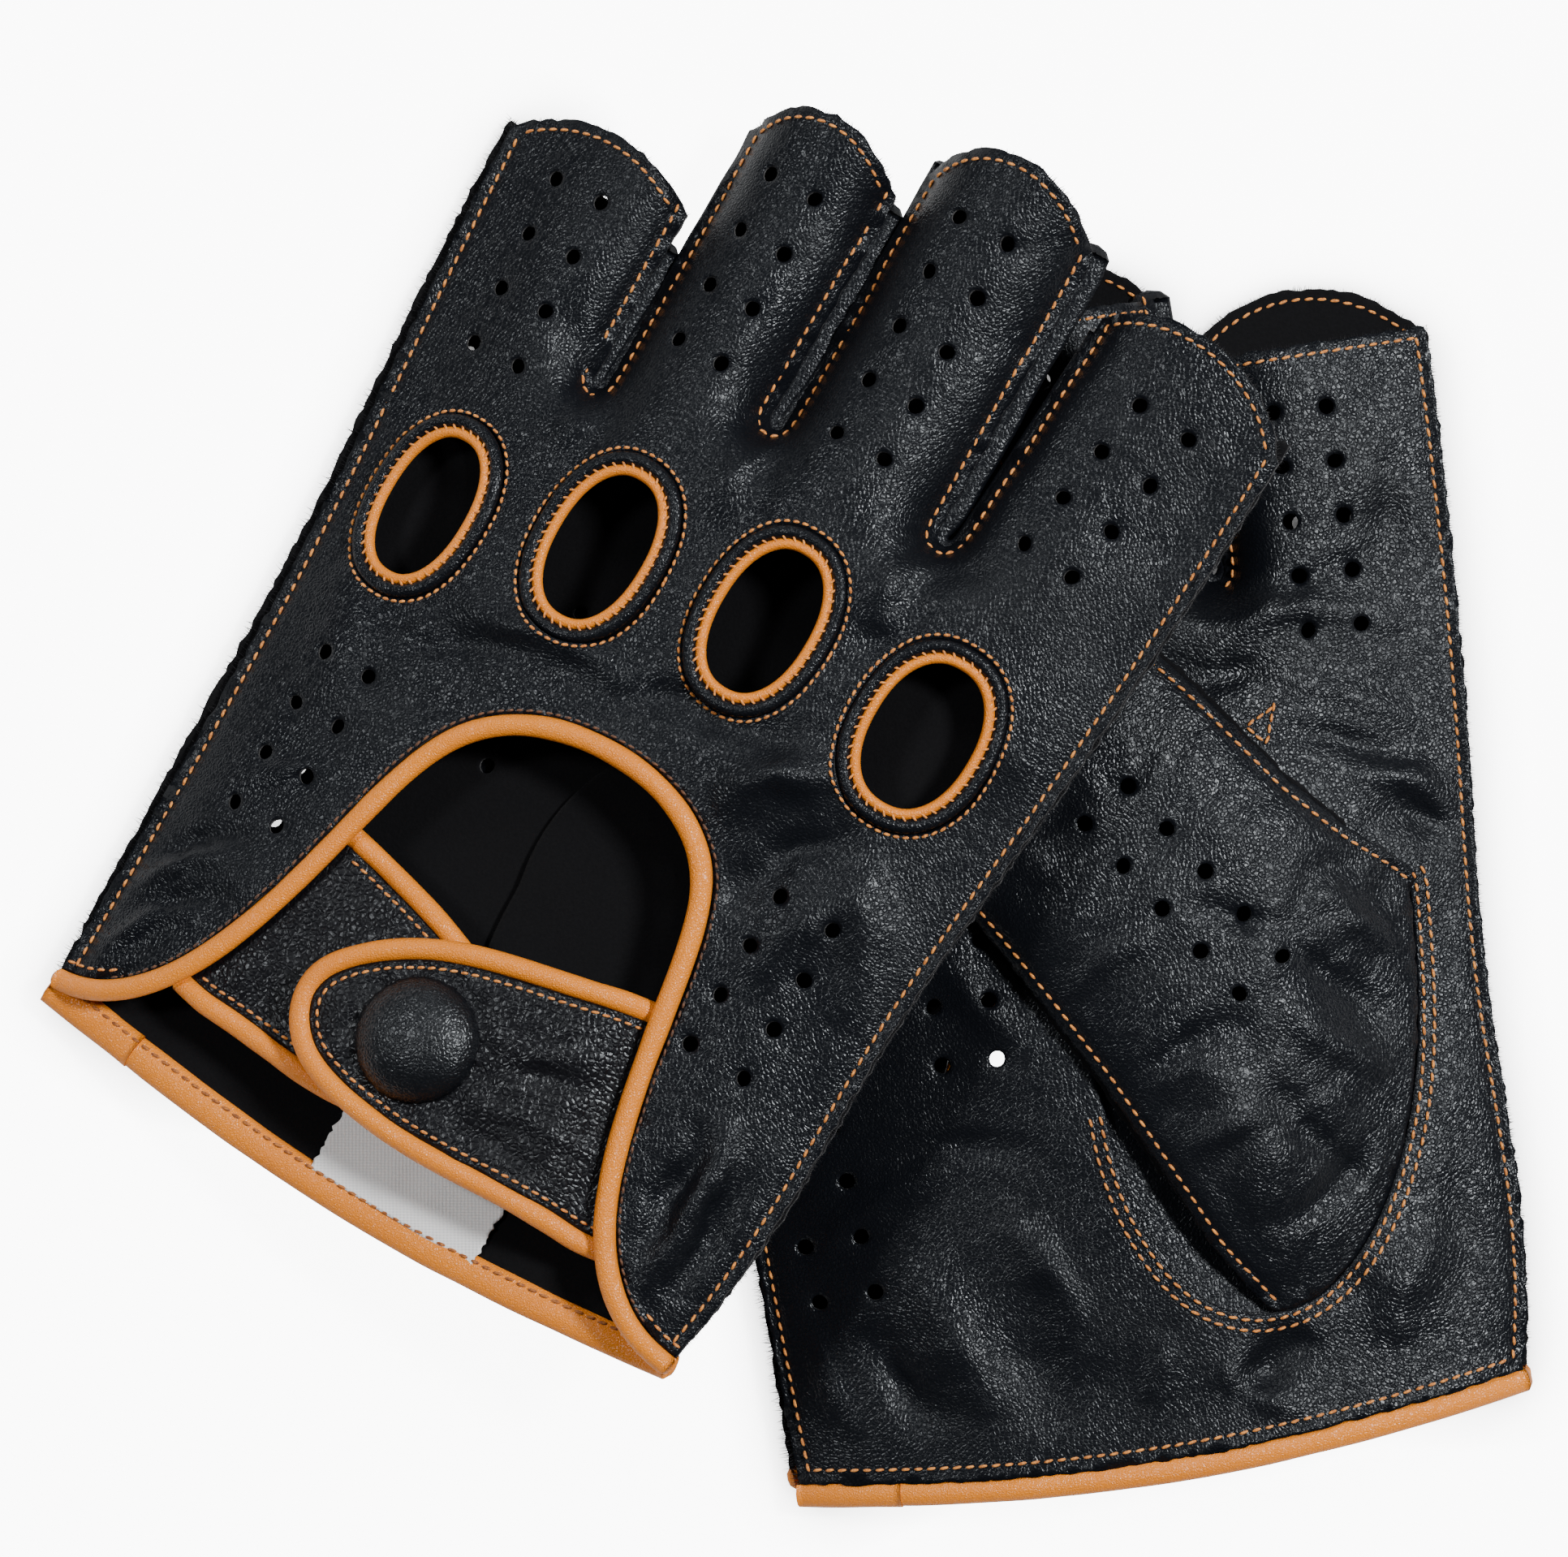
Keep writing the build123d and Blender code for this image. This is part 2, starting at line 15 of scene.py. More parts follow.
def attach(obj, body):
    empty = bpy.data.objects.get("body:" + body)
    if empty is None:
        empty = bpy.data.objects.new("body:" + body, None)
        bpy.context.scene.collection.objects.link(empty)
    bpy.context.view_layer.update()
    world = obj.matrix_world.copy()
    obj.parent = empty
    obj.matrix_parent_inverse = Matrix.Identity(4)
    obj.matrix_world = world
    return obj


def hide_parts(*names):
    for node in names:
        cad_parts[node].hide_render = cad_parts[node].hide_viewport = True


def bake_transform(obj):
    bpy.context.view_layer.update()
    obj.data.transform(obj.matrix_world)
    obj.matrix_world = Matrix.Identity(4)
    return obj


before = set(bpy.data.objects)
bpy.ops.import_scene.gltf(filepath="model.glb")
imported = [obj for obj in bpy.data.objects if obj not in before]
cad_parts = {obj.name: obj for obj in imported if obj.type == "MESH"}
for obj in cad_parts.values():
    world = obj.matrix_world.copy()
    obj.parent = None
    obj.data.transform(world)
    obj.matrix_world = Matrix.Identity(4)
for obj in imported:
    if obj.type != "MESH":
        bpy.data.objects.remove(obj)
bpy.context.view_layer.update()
MM = 0.001

# ---------------------------------------------------------------- dimensions, in millimetres

FINGERS = ("index", "middle", "ring", "little")
# the hand frame of each glove, as the CAD places it: origin, turn about Z, roll about Y
PLACE = {
    "left": ((-52.286, -45.526, 13.16), -30.65, 14.4),
    "right": ((46.314, -77.526, 1.3), 9.0, 0.0),
}
UPPER_FACE = {"left": "back", "right": "palm"}
LEATHER = 0.9  # thickness of a skin
FLAP_LEATHER = 1.55  # thickness of a strap or tab with its lining
ARCH_TOP, ARCH_RADIUS = 10.9, 171.7  # outer face of the arched panel in the CAD
SEAM_Z = 2.0  # where the two panels meet along the side seams
SEAM_INSET, GAP_INSET, TIP_INSET = 1.45, 1.25, 1.3  # from a raw edge to its stitches
GROOVE = 0.34  # depth of the dip along a row of stitches
STITCH_PITCH, STITCH_LENGTH, STITCH_WIDTH = 1.62, 1.12, 0.4
STITCH_SLANT = 0.12
STITCH_RAISE = 0.06  # from the skin to a stitch's middle
PIPING_WIDTH, PIPING_HEIGHT = 2.75, 2.3
STRAP_PIPING, STRAP_PIPING_HEIGHT = 2.7, 2.35
GRID = 1.15  # spacing of the points inside a sheet of leather
ROWS = (0.45, 0.95, 1.45, 1.95, 2.6)  # rows of points beside an edge
HOLE_ROW = 0.5  # row of points round a hole
HOLE_RADIUS = 1.0
BIG_HOLE = 20.0  # area from which a hole isn't a punched one
FIELD_STEP = 0.75
SEAM_REACH = 0.8  # the skin is held down this near a seam
EDGE_ROUND = 7.0  # how far from a side seam the skin takes to rise
STRAP_LIFT = {"left": 0.35, "right": -2.35}  # strap's outer face from the back's outer face
TAB_LIFT = {"left": -2.9, "right": -5.4}
CAP_LIFT = {"left": 0.55, "right": -1.85}
FAR = 1e9


def place_matrix(side):
    (x, y, z), turn, roll = PLACE[side]
    spin = Matrix.Rotation(math.radians(turn), 4, "Z") @ Matrix.Rotation(math.radians(-roll), 4, "Y")
    return Matrix.Translation((x, y, z)) @ spin


HAND = {side: np.array(place_matrix(side)) for side in PLACE}
HAND_INV = {side: np.linalg.inv(HAND[side]) for side in PLACE}


def to_world(side, points):
    """Hand-frame millimetres to world metres."""
    m = HAND[side]
    return (points @ m[:3, :3].T + m[:3, 3]) * MM


# ---------------------------------------------------------------- noise and plane curves


def hash_noise(p, seed):
    """Smooth value noise in -1..1 for points of shape (n, 2)."""
    cell = np.floor(p).astype(np.int64)
    t = p - cell
    t = t * t * (3 - 2 * t)

    def corner(dx, dy):
        h = (cell[:, 0] + dx) * 374761393 + (cell[:, 1] + dy) * 668265263 + seed * 974634777
        h = (h ^ (h >> 13)) * 1274126177
        h = h ^ (h >> 16)
        return (h & 0xFFFF) / 32767.5 - 1.0

    low = corner(0, 0) * (1 - t[:, 0]) + corner(1, 0) * t[:, 0]
    high = corner(0, 1) * (1 - t[:, 0]) + corner(1, 1) * t[:, 0]
    return low * (1 - t[:, 1]) + high * t[:, 1]


def fractal(p, seed, octaves=3):
    total = np.zeros(len(p))
    size = 1.0
    for i in range(octaves):
        total += hash_noise(p * (2.03**i) + 17.3 * i, seed + i) * size
        size *= 0.5
    return total


def wandering(p, size, seeds, octaves=3):
    """Two noises of one size as an (n, 2) offset."""
    return np.stack([fractal(p / size, seed, octaves) for seed in seeds], axis=1)


def resample(path, step, closed=False):
    """Evenly spaced points along a path."""
    p = np.vstack([path, path[:1]]) if closed else np.asarray(path, float)
    seg = np.linalg.norm(np.diff(p, axis=0), axis=1)
    at = np.concatenate([[0], np.cumsum(seg)])
    count = max(int(round(at[-1] / step)), 2)
    s = np.linspace(0, at[-1], count + 1)
    if closed:
        s = s[:-1]
    return np.stack([np.interp(s, at, p[:, k]) for k in range(p.shape[1])], axis=1)


def smoothed(path, rounds, closed=False):
    p = np.asarray(path, float).copy()
    for _ in range(rounds):
        if closed:
            p = (np.roll(p, 1, 0) + 2 * p + np.roll(p, -1, 0)) / 4
        else:
            p[1:-1] = (p[:-2] + 2 * p[1:-1] + p[2:]) / 4
    return p


def tangents(path, closed=False):
    if closed:
        d = np.roll(path, -1, 0) - np.roll(path, 1, 0)
    else:
        d = np.gradient(path, axis=0)
    return d / np.maximum(np.linalg.norm(d, axis=1, keepdims=True), 1e-9)


def shifted(path, distance, closed=False):
    """A path moved to its left."""
    t = tangents(path, closed)
    return path + np.stack([-t[:, 1], t[:, 0]], axis=1) * distance


def length_of(path):
    return float(np.linalg.norm(np.diff(path, axis=0), axis=1).sum())


def inside(points, loop):
    """Even-odd test of many points in one loop."""
    x, y = points[:, 0], points[:, 1]
    result = np.zeros(len(points), bool)
    a, b = loop, np.roll(loop, -1, 0)
    for (x0, y0), (x1, y1) in zip(a, b):
        if y0 == y1:
            continue
        cross = (y0 > y) != (y1 > y)
        result ^= cross & (x < (x1 - x0) * (y - y0) / (y1 - y0) + x0)
    return result


def area_of(loop):
    x, y = loop[:, 0], loop[:, 1]
    return 0.5 * float(np.sum(x * np.roll(y, -1) - np.roll(x, -1) * y))


def facing(loop, sign=1):
    """A loop turned anticlockwise, or clockwise for a negative sign."""
    return loop if area_of(loop) * sign > 0 else loop[::-1]


def distance_to(points, path, closed=False):
    """Distance of many points from a polyline."""
    a, b = (path, np.roll(path, -1, 0)) if closed else (path[:-1], path[1:])
    ab = (b - a)[None]
    best = np.full(len(points), FAR)
    some = 4000  # points at a time, to spare memory
    for start in range(0, len(points), some):
        p = points[start : start + some, None, :]
        t = np.clip(np.sum((p - a[None]) * ab, -1) / np.maximum(np.sum(ab * ab, -1), 1e-12), 0, 1)
        d = np.linalg.norm(p - (a[None] + ab * t[..., None]), axis=-1)
        best[start : start + some] = d.min(axis=1)
    return best


# ---------------------------------------------------------------- outlines of the CAD nodes


def border(faces):
    """Edges that only one face has, in that face's direction."""
    edges = {}
    for ids in faces:
        for a, b in zip(ids, ids[1:] + ids[:1]):
            if (b, a) in edges:
                del edges[b, a]
            elif a != b:
                edges[a, b] = True
    return edges


def plan_loops(node, side):
    """Outlines of a flat or arched CAD piece, seen along the hand frame's Z, largest first."""
    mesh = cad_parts[node].data
    co = np.empty(len(mesh.vertices) * 3)
    mesh.vertices.foreach_get("co", co)
    m = HAND_INV[side]
    co = co.reshape(-1, 3) / MM @ m[:3, :3].T + m[:3, 3]
    key = {}
    weld = [key.setdefault(tuple(np.round(c, 2)), len(key)) for c in co]
    points = np.zeros((len(key), 3))
    for i, k in enumerate(weld):
        points[k] = co[i]
    upward = []
    for poly in mesh.polygons:
        ids = [weld[v] for v in poly.vertices]
        n = np.zeros(3)
        for i in range(1, len(ids) - 1):
            n += np.cross(points[ids[i]] - points[ids[0]], points[ids[i + 1]] - points[ids[0]])
        if n[2] >= 0.6 * np.linalg.norm(n) > 0:
            upward.append(ids)
    follow = {}
    for a, b in border(upward):
        follow.setdefault(a, []).append(b)
    loops = []
    while follow:
        start = min(follow)
        loop, at = [], start
        while at in follow:
            loop.append(at)
            step = follow[at].pop()
            if not follow[at]:
                del follow[at]
            at = step
        if len(loop) > 2:
            loops.append(points[loop][:, :2])
    loops.sort(key=lambda q: -abs(area_of(q)))
    return loops


def corner_indices(loop, angle, low_y=0.0, high_y=0.0):
    """Corners of a loop sharper than an angle, outside a range of y."""
    a = loop - np.roll(loop, 1, 0)
    b = np.roll(loop, -1, 0) - loop
    turn = np.degrees(np.abs(np.arctan2(a[:, 0] * b[:, 1] - a[:, 1] * b[:, 0], np.sum(a * b, 1))))
    return [i for i in range(len(loop)) if turn[i] > angle and not low_y < loop[i, 1] < high_y]


def hand_segments(loop):
    """A panel's outline as its bottom, index side, tips, gaps and little side."""
    loop = facing(loop)
    corners = corner_indices(loop, 20, 12, 112)
    start = min(corners, key=lambda i: loop[i, 0] + 3 * loop[i, 1])  # bottom left
    loop = np.roll(loop, -start, 0)
    marks = [0] + sorted((i - start) % len(loop) for i in corners if i != start) + [len(loop)]
    closed = np.vstack([loop, loop[:1]])
    return [closed[a : b + 1] for a, b in zip(marks[:-1], marks[1:])]


def panel_parts(side, face):
    """Named curves of one panel, its outline and its holes."""
    loops = plan_loops(f"{side}_{face}_panel", side)
    parts = hand_segments(loops[0])
    names = ["bottom", "index_side"]
    for finger in FINGERS[:3]:
        names += [f"tip_{finger}", f"gap_{finger}"]
    names += ["tip_little", "little_side"]
    if len(parts) != len(names):
        raise SystemExit(f"{side} {face}: {len(parts)} outline parts, not {len(names)}")
    return dict(zip(names, parts)), loops[0], loops[1:]


# ---------------------------------------------------------------- the inflated skin


class Field:
    """A membrane on a soft filling: 0 along the seams, 1 far from them, free at the tips and the cuff."""

    X0, Y0, X1, Y1 = -62.0, -40.0, 64.0, 182.0  # the grid's corners

    def __init__(self, walls, seams, rounds):
        step = FIELD_STEP
        self.xs = np.arange(self.X0, self.X1, step)
        self.ys = np.arange(self.Y0, self.Y1, step)
        gx, gy = np.meshgrid(self.xs, self.ys)
        points = np.stack([gx.ravel(), gy.ravel()], axis=1)
        blocked = np.zeros(len(points), bool)
        for wall in walls:
            blocked |= inside(points, wall)
        for seam in seams:
            blocked |= distance_to(points, seam) < SEAM_REACH
        open_ = ~blocked.reshape(gx.shape)
        self.h = np.zeros(gx.shape)
        for level in (8, 4, 2, 1):
            self.h = self.relax(self.h, open_, level, rounds)

    @staticmethod
    def relax(h, open_, level, rounds):
        """Jacobi sweeps on a grid thinned by level, then spread back."""
        coarse = h[::level, ::level]
        mask = open_[::level, ::level]
        pull = (FIELD_STEP * level / EDGE_ROUND) ** 2
        for _ in range(rounds):
            up = np.vstack([coarse[:1], coarse[:-1]])
            down = np.vstack([coarse[1:], coarse[-1:]])
            left = np.hstack([coarse[:, :1], coarse[:, :-1]])
            right = np.hstack([coarse[:, 1:], coarse[:, -1:]])
            coarse = np.where(mask, (up + down + left + right + pull) / (4 + pull), 0)
        if level == 1:
            return coarse
        full = np.repeat(np.repeat(coarse, level, 0), level, 1)[: h.shape[0], : h.shape[1]]
        return np.where(open_, full, 0)

    def at(self, p):
        fx = np.clip((p[:, 0] - self.X0) / FIELD_STEP, 0, len(self.xs) - 1.001)
        fy = np.clip((p[:, 1] - self.Y0) / FIELD_STEP, 0, len(self.ys) - 1.001)
        i, j = fx.astype(int), fy.astype(int)
        u, v = fx - i, fy - j
        h = self.h
        low = h[j, i] * (1 - u) + h[j, i + 1] * u
        high = h[j + 1, i] * (1 - u) + h[j + 1, i + 1] * u
        return low * (1 - v) + high * v


def stretched(path, reach=60.0):
    """A path carried on straight past both its ends."""
    a = path[0] + (path[0] - path[1]) / np.linalg.norm(path[0] - path[1]) * reach
    b = path[-1] + (path[-1] - path[-2]) / np.linalg.norm(path[-1] - path[-2]) * reach
    return np.vstack([a, path, b])


CURVES = {}
HOLES = {}
OUTLINES = {}
# how far the hidden panel of each glove is drawn out: along its fingertips, and past the visible
# panel's raw edge on the little finger's side
TIP_SHIFT = {("left", "palm"): 4.5, ("right", "back"): -3.6}
EDGE_SHIFT = {("left", "palm"): 1.3}
for side in PLACE:
    for face in ("back", "palm"):
        CURVES[side, face], OUTLINES[side, face], HOLES[side, face] = panel_parts(side, face)


def lengthened(p, side, face):
    """Points of a panel after its fingertips have been drawn out or in."""
    shift = TIP_SHIFT[side, face]
    middles = np.array([CURVES[side, face][f"tip_{finger}"].mean(0) for finger in FINGERS])
    nearest = middles[np.argmin(np.abs(p[:, None, 0] - middles[None, :, 0]), axis=1)]
    share = np.clip((p[:, 1] - nearest[:, 1] + 15.0) / 13.0, 0, 1)  # from 15 mm to 2 mm below a tip
    wide = EDGE_SHIFT.get((side, face), 0.0) * np.clip((-34.0 - p[:, 0]) / 8.0, 0, 1)
    return p + np.column_stack([-wide, shift * share * share * (3 - 2 * share)])


for key in TIP_SHIFT:
    moved = {name: lengthened(curve, *key) for name, curve in CURVES[key].items()}
    OUTLINES[key] = lengthened(OUTLINES[key], *key)
    HOLES[key] = [lengthened(q, *key) for q in HOLES[key]]
    CURVES[key] = moved

back_curves = CURVES["left", "back"]
seam_walls = [stretched(back_curves[f"gap_{finger}"]) for finger in FINGERS[:3]]
for name, far in (("index_side", 200.0), ("little_side", -200.0)):
    line = stretched(back_curves[name])
    seam_walls.append(np.vstack([line, [[far, line[-1, 1]], [far, line[0, 1]]]]))
SEAM_LINES = [back_curves[k] for k in ("index_side", "little_side", "gap_index", "gap_middle", "gap_ring")]
MEMBRANE = Field(seam_walls, SEAM_LINES, 240)


def puff(p):
    """0 at a side seam, near 1 in the middle of the hand."""
    return np.sin(np.clip(MEMBRANE.at(p), 0, 1) * math.pi / 2)


def bump_line(p, start, end, width, height):
    """A long soft fold from start to end, fading at its ends."""
    a, b = np.array(start, float), np.array(end, float)
    ab = b - a
    size = np.linalg.norm(ab)
    t = (p - a) @ ab / size**2
    bend = 0.06 * size * np.sin(np.clip(t, 0, 1) * math.pi)
    off = ((p - a) @ np.array([-ab[1], ab[0]])) / size - bend
    fade = np.clip(1 - np.abs(t - 0.5) * 2, 0, 1) ** 0.7
    return height * fade * np.exp(-((off / width) ** 2))


def folded(p, folds, slim, gain):
    """Several folds together, each a start, an end, a width and a height."""
    return sum(bump_line(p, start, end, width * slim, height * gain) for start, end, width, height in folds)


# folds on each face, in the hand frame: start, end, width, height
FOLDS = {
    ("left", "back"): [
        ((-24, 66), (2, 69), 2.2, 0.8), ((-3, 67), (24, 72), 2.4, -0.7), ((16, 62), (31, 74), 3.2, 1.3),
        ((24, 52), (33, 68), 2.6, -0.9), ((-28, 58), (-12, 66), 1.6, -0.5), ((30, 46), (40, 62), 3.4, 0.7),
        ((-44, 6), (-33, 19), 1.5, 0.9), ((-42, 11), (-30, 22), 1.2, -0.8), ((-45, 13), (-33, 27), 1.4, 0.8),
        ((-44, 19), (-31, 30), 1.1, -0.6), ((-43, 2), (-36, 7), 1.2, -0.5), ((-38, 34), (-26, 41), 1.2, 0.4),
        ((34, 28), (37, 8), 1.4, -0.9), ((37.5, 30), (40, 6), 1.8, 0.9), ((41, 26), (43, 6), 1.5, -0.8),
        ((44, 30), (45.6, 8), 1.4, 0.6), ((-24, 90), (-22, 97), 2.4, 0.6), ((0, 92), (0, 103), 3.0, 0.7),
        ((23, 90), (23.5, 101), 3.0, 0.8), ((24, 96), (30, 104), 1.6, -0.5), ((-1, 94), (4, 105), 1.4, -0.4),
        ((-44, 84), (-38, 62), 2.6, 0.5), ((-26, 100), (-35, 108), 2.0, -0.4),
        ((-23.5, 108), (-22, 82), 3.6, -0.55), ((0, 112), (-0.5, 84), 3.6, -0.6),
        ((23.5, 110), (22, 82), 3.8, -0.65), ((-37, 116), (-37, 92), 5.0, 0.3),
        ((-12, 124), (-12, 98), 5.0, 0.35), ((11, 126), (11, 100), 5.0, 0.35),
        ((36, 122), (36, 98), 5.5, 0.35), ((34, 68), (44, 46), 3.4, 0.55), ((-30, 46), (-40, 66), 4.0, 0.4),
    ],
    ("right", "palm"): [
        ((-40, 92), (-6, 88), 2.2, -0.6), ((4, 92), (44, 86), 2.6, -0.8), ((10, 98), (46, 95), 2.4, 0.8),
        ((36, 78), (49, 70), 2.4, 1.0), ((37, 72), (50, 66), 1.8, -0.9), ((46, 62), (49, 40), 2.0, -0.5),
        ((-20, 6), (-26, 26), 4.2, 0.9), ((-26, 4), (-34, 20), 2.6, -1.1), ((10, 2), (20, 10), 2.8, -1.3),
        ((18, 0), (8, 9), 2.4, 0.8), ((-12, 3), (-14, 22), 4.0, -0.6), ((30, 6), (37, 20), 3.4, 0.7),
        ((-40, 28), (-18, 38), 2.0, 0.4), ((-30, 40), (-8, 36), 1.6, -0.4), ((-16, 30), (-8, 14), 2.6, 0.6),
        ((40, 8), (43, 34), 3.0, -0.5), ((-38, 6), (-41, 20), 2.0, 0.6), ((28, 84), (44, 76), 1.5, -0.7),
        ((24, 92), (46, 82), 1.8, 0.7), ((44, 100), (50, 120), 2.0, -0.3), ((30, 100), (50, 104), 1.4, -0.35),
        ((-8, 50), (-20, 66), 2.6, 0.6), ((0, 4), (3, 12), 2.2, 0.5),
    ],
    ("left", "palm"): [((-36, 60), (36, 66), 3.0, -0.4), ((-30, 20), (-8, 12), 3.0, -0.3)],
    ("right", "back"): [((-24, 66), (20, 69), 2.6, -0.3)],
}
FOLD_GAIN = {"left": 1.95, "right": 1.4}


def creases(p, side, face):
    """Wrinkles of the leather, outwards, in millimetres."""
    seed = {"left": 11, "right": 57}[side] + {"back": 0, "palm": 5}[face]
    q = p + wandering(p, 23.0, (seed + 3, seed + 9)) * 7.0
    broad = fractal(q / 24.0, seed, 2) * 0.6
    along = np.stack([q[:, 0] / 15.0, q[:, 1] / 4.6], axis=1)
    ridge = 1 - np.abs(fractal(along, seed + 20, 2))
    worn = np.clip(0.55 + 0.9 * hash_noise(p / 21.0, seed + 31), 0, 1.3)
    wobble = p + wandering(p, 6.0, (seed + 40, seed + 44)) * 0.9
    return broad + (ridge - 0.6) * 0.26 * worn + folded(wobble, FOLDS[side, face], 0.85, FOLD_GAIN[side])


def seam_groove(p):
    """The dip along the stitches beside a raw edge, and how far the creases show: not at all at the edge."""
    d = np.min([distance_to(p, line) for line in SEAM_LINES], axis=0)
    groove = -GROOVE * np.exp(-(((d - SEAM_INSET) / 0.55) ** 2))
    return groove, np.clip((d - 1.0) / 5.0, 0, 1)


def face_height(p, side, face, detail=True):
    """Height of a face's outer skin in the hand frame."""
    upper = UPPER_FACE[side] == face
    m = puff(p)
    lift = 0.0
    if detail:
        groove, calm = seam_groove(p)
        lift = groove + creases(p, side, face) * calm * (1.0 if upper else 0.5)
    if upper:
        arch = ARCH_TOP - ARCH_RADIUS + np.sqrt(ARCH_RADIUS**2 - p[:, 0] ** 2)
        base = SEAM_Z + LEATHER
        return base + (np.maximum(arch, base + 0.6) - base) * m + lift
    base = SEAM_Z - LEATHER
    return np.maximum(base * (1 - np.minimum(m * 1.25, 1)) - lift, 0.0)


def outward(side, face):
    return 1.0 if UPPER_FACE[side] == face else -1.0


def on_face(path, side, face, raise_by=0.0, detail=True):
    """A plan path laid on a face, raised outwards."""
    z = face_height(path, side, face, detail) + outward(side, face) * raise_by
    return np.column_stack([path, z])


# ---------------------------------------------------------------- mesh makers


def make_object(name, side, verts, faces, material, body, nodes=(), smooth=True):
    """A closed or open mesh from hand-frame points, riding on its body."""
    mesh = bpy.data.meshes.new(name)
    points = to_world(side, np.asarray(verts, float)).tolist()
    mesh.from_pydata(points, [], [tuple(int(i) for i in f) for f in faces])
    mesh.validate()
    if smooth:
        mesh.polygons.foreach_set("use_smooth", [True] * len(mesh.polygons))
    for m in material if isinstance(material, (list, tuple)) else [material]:
        mesh.materials.append(m)
    obj = bpy.data.objects.new(f"{side}_{name}", mesh)
    bpy.context.scene.collection.objects.link(obj)
    if body:
        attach(obj, f"{side}_{body}")
    if nodes:
        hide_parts(*[f"{side}_{n}" for n in nodes])
    return obj


def fill(outline, holes=(), grid=GRID, rows=ROWS, ragged=0.0, seed=1):
    """Triangles over a plan: points along every outline, in rows beside it and on a grid within."""
    outline = facing(outline)
    edge = resample(outline, 0.8, closed=True)
    if ragged:
        edge = shifted(edge, fractal(edge / 0.9, seed, 2)[:, None] * ragged, closed=True)
    loops = [edge, *holes]
    points = list(loops)
    for distance in rows:
        row = shifted(edge, distance, closed=True)
        keep = inside(row, outline) & (distance_to(row, outline, True) > distance * 0.93)
        for h in holes:
            keep &= ~inside(row, h) & (distance_to(row, h, True) > 0.45)
        points.append(row[keep])
    points += [shifted(facing(h, -1), HOLE_ROW, closed=True) for h in holes]
    lo, hi = outline.min(0), outline.max(0)
    gx, gy = np.meshgrid(np.arange(lo[0], hi[0], grid), np.arange(lo[1], hi[1], grid * 0.87))
    gx[1::2] += grid / 2
    g = np.stack([gx.ravel(), gy.ravel()], axis=1)
    g = g[inside(g, outline)]
    g = g[distance_to(g, outline, True) > rows[-1] + grid * 0.6]
    for h in holes:
        g = g[~inside(g, h)]
        g = g[distance_to(g, h, True) > HOLE_ROW + grid * 0.5]
    points.append(g)
    edges, at = [], 0
    for loop in loops:
        n = len(loop)
        edges += [(at + i, at + (i + 1) % n) for i in range(n)]
        at += n
    out = delaunay_2d_cdt([Vector(q) for q in np.vstack(points)], edges, [], 0, 1e-5)
    v = np.array([(q.x, q.y) for q in out[0]])
    tri = np.array([f for f in out[2] if len(f) == 3])
    c = v[tri].mean(axis=1)
    ok = inside(c, edge)
    for h in holes:
        ok &= ~inside(c, h)
    tri = tri[ok]
    a, b, d = v[tri[:, 0]], v[tri[:, 1]], v[tri[:, 2]]
    area = (b[:, 0] - a[:, 0]) * (d[:, 1] - a[:, 1]) - (b[:, 1] - a[:, 1]) * (d[:, 0] - a[:, 0])
    tri[area < 0] = tri[area < 0][:, ::-1]
    tri = tri[np.abs(area) > 1e-6]
    used = np.unique(tri)
    remap = -np.ones(len(v), int)
    remap[used] = np.arange(len(used))
    return v[used], remap[tri]


def thick_sheet(xy, tri, outer, inner):
    """A closed sheet from its outer and inner heights, and the material slot of each face."""
    n = len(xy)
    verts = np.vstack([np.column_stack([xy, outer]), np.column_stack([xy, inner])])
    top = (tri if np.mean(outer - inner) > 0 else tri[:, ::-1]).tolist()
    under = [[i + n for i in reversed(f)] for f in top]
    rim = [(b, a, a + n, b + n) for a, b in border(top)]
    return verts, top + under + rim, [0] * len(top) + [1] * len(top) + [2] * len(rim)


def sheet_object(name, side, xy, tri, outer, inner, materials, body, nodes=()):
    verts, faces, slots = thick_sheet(xy, tri, outer, inner)
    obj = make_object(name, side, verts, faces, materials, body, nodes)
    if len(obj.data.polygons) == len(slots):
        obj.data.polygons.foreach_set("material_index", slots)
    return obj


def frames_along(path, normals, closed=False):
    t = tangents(path, closed)
    s = np.cross(t, normals)
    s /= np.maximum(np.linalg.norm(s, axis=1, keepdims=True), 1e-9)
    return t, s, np.cross(s, t)


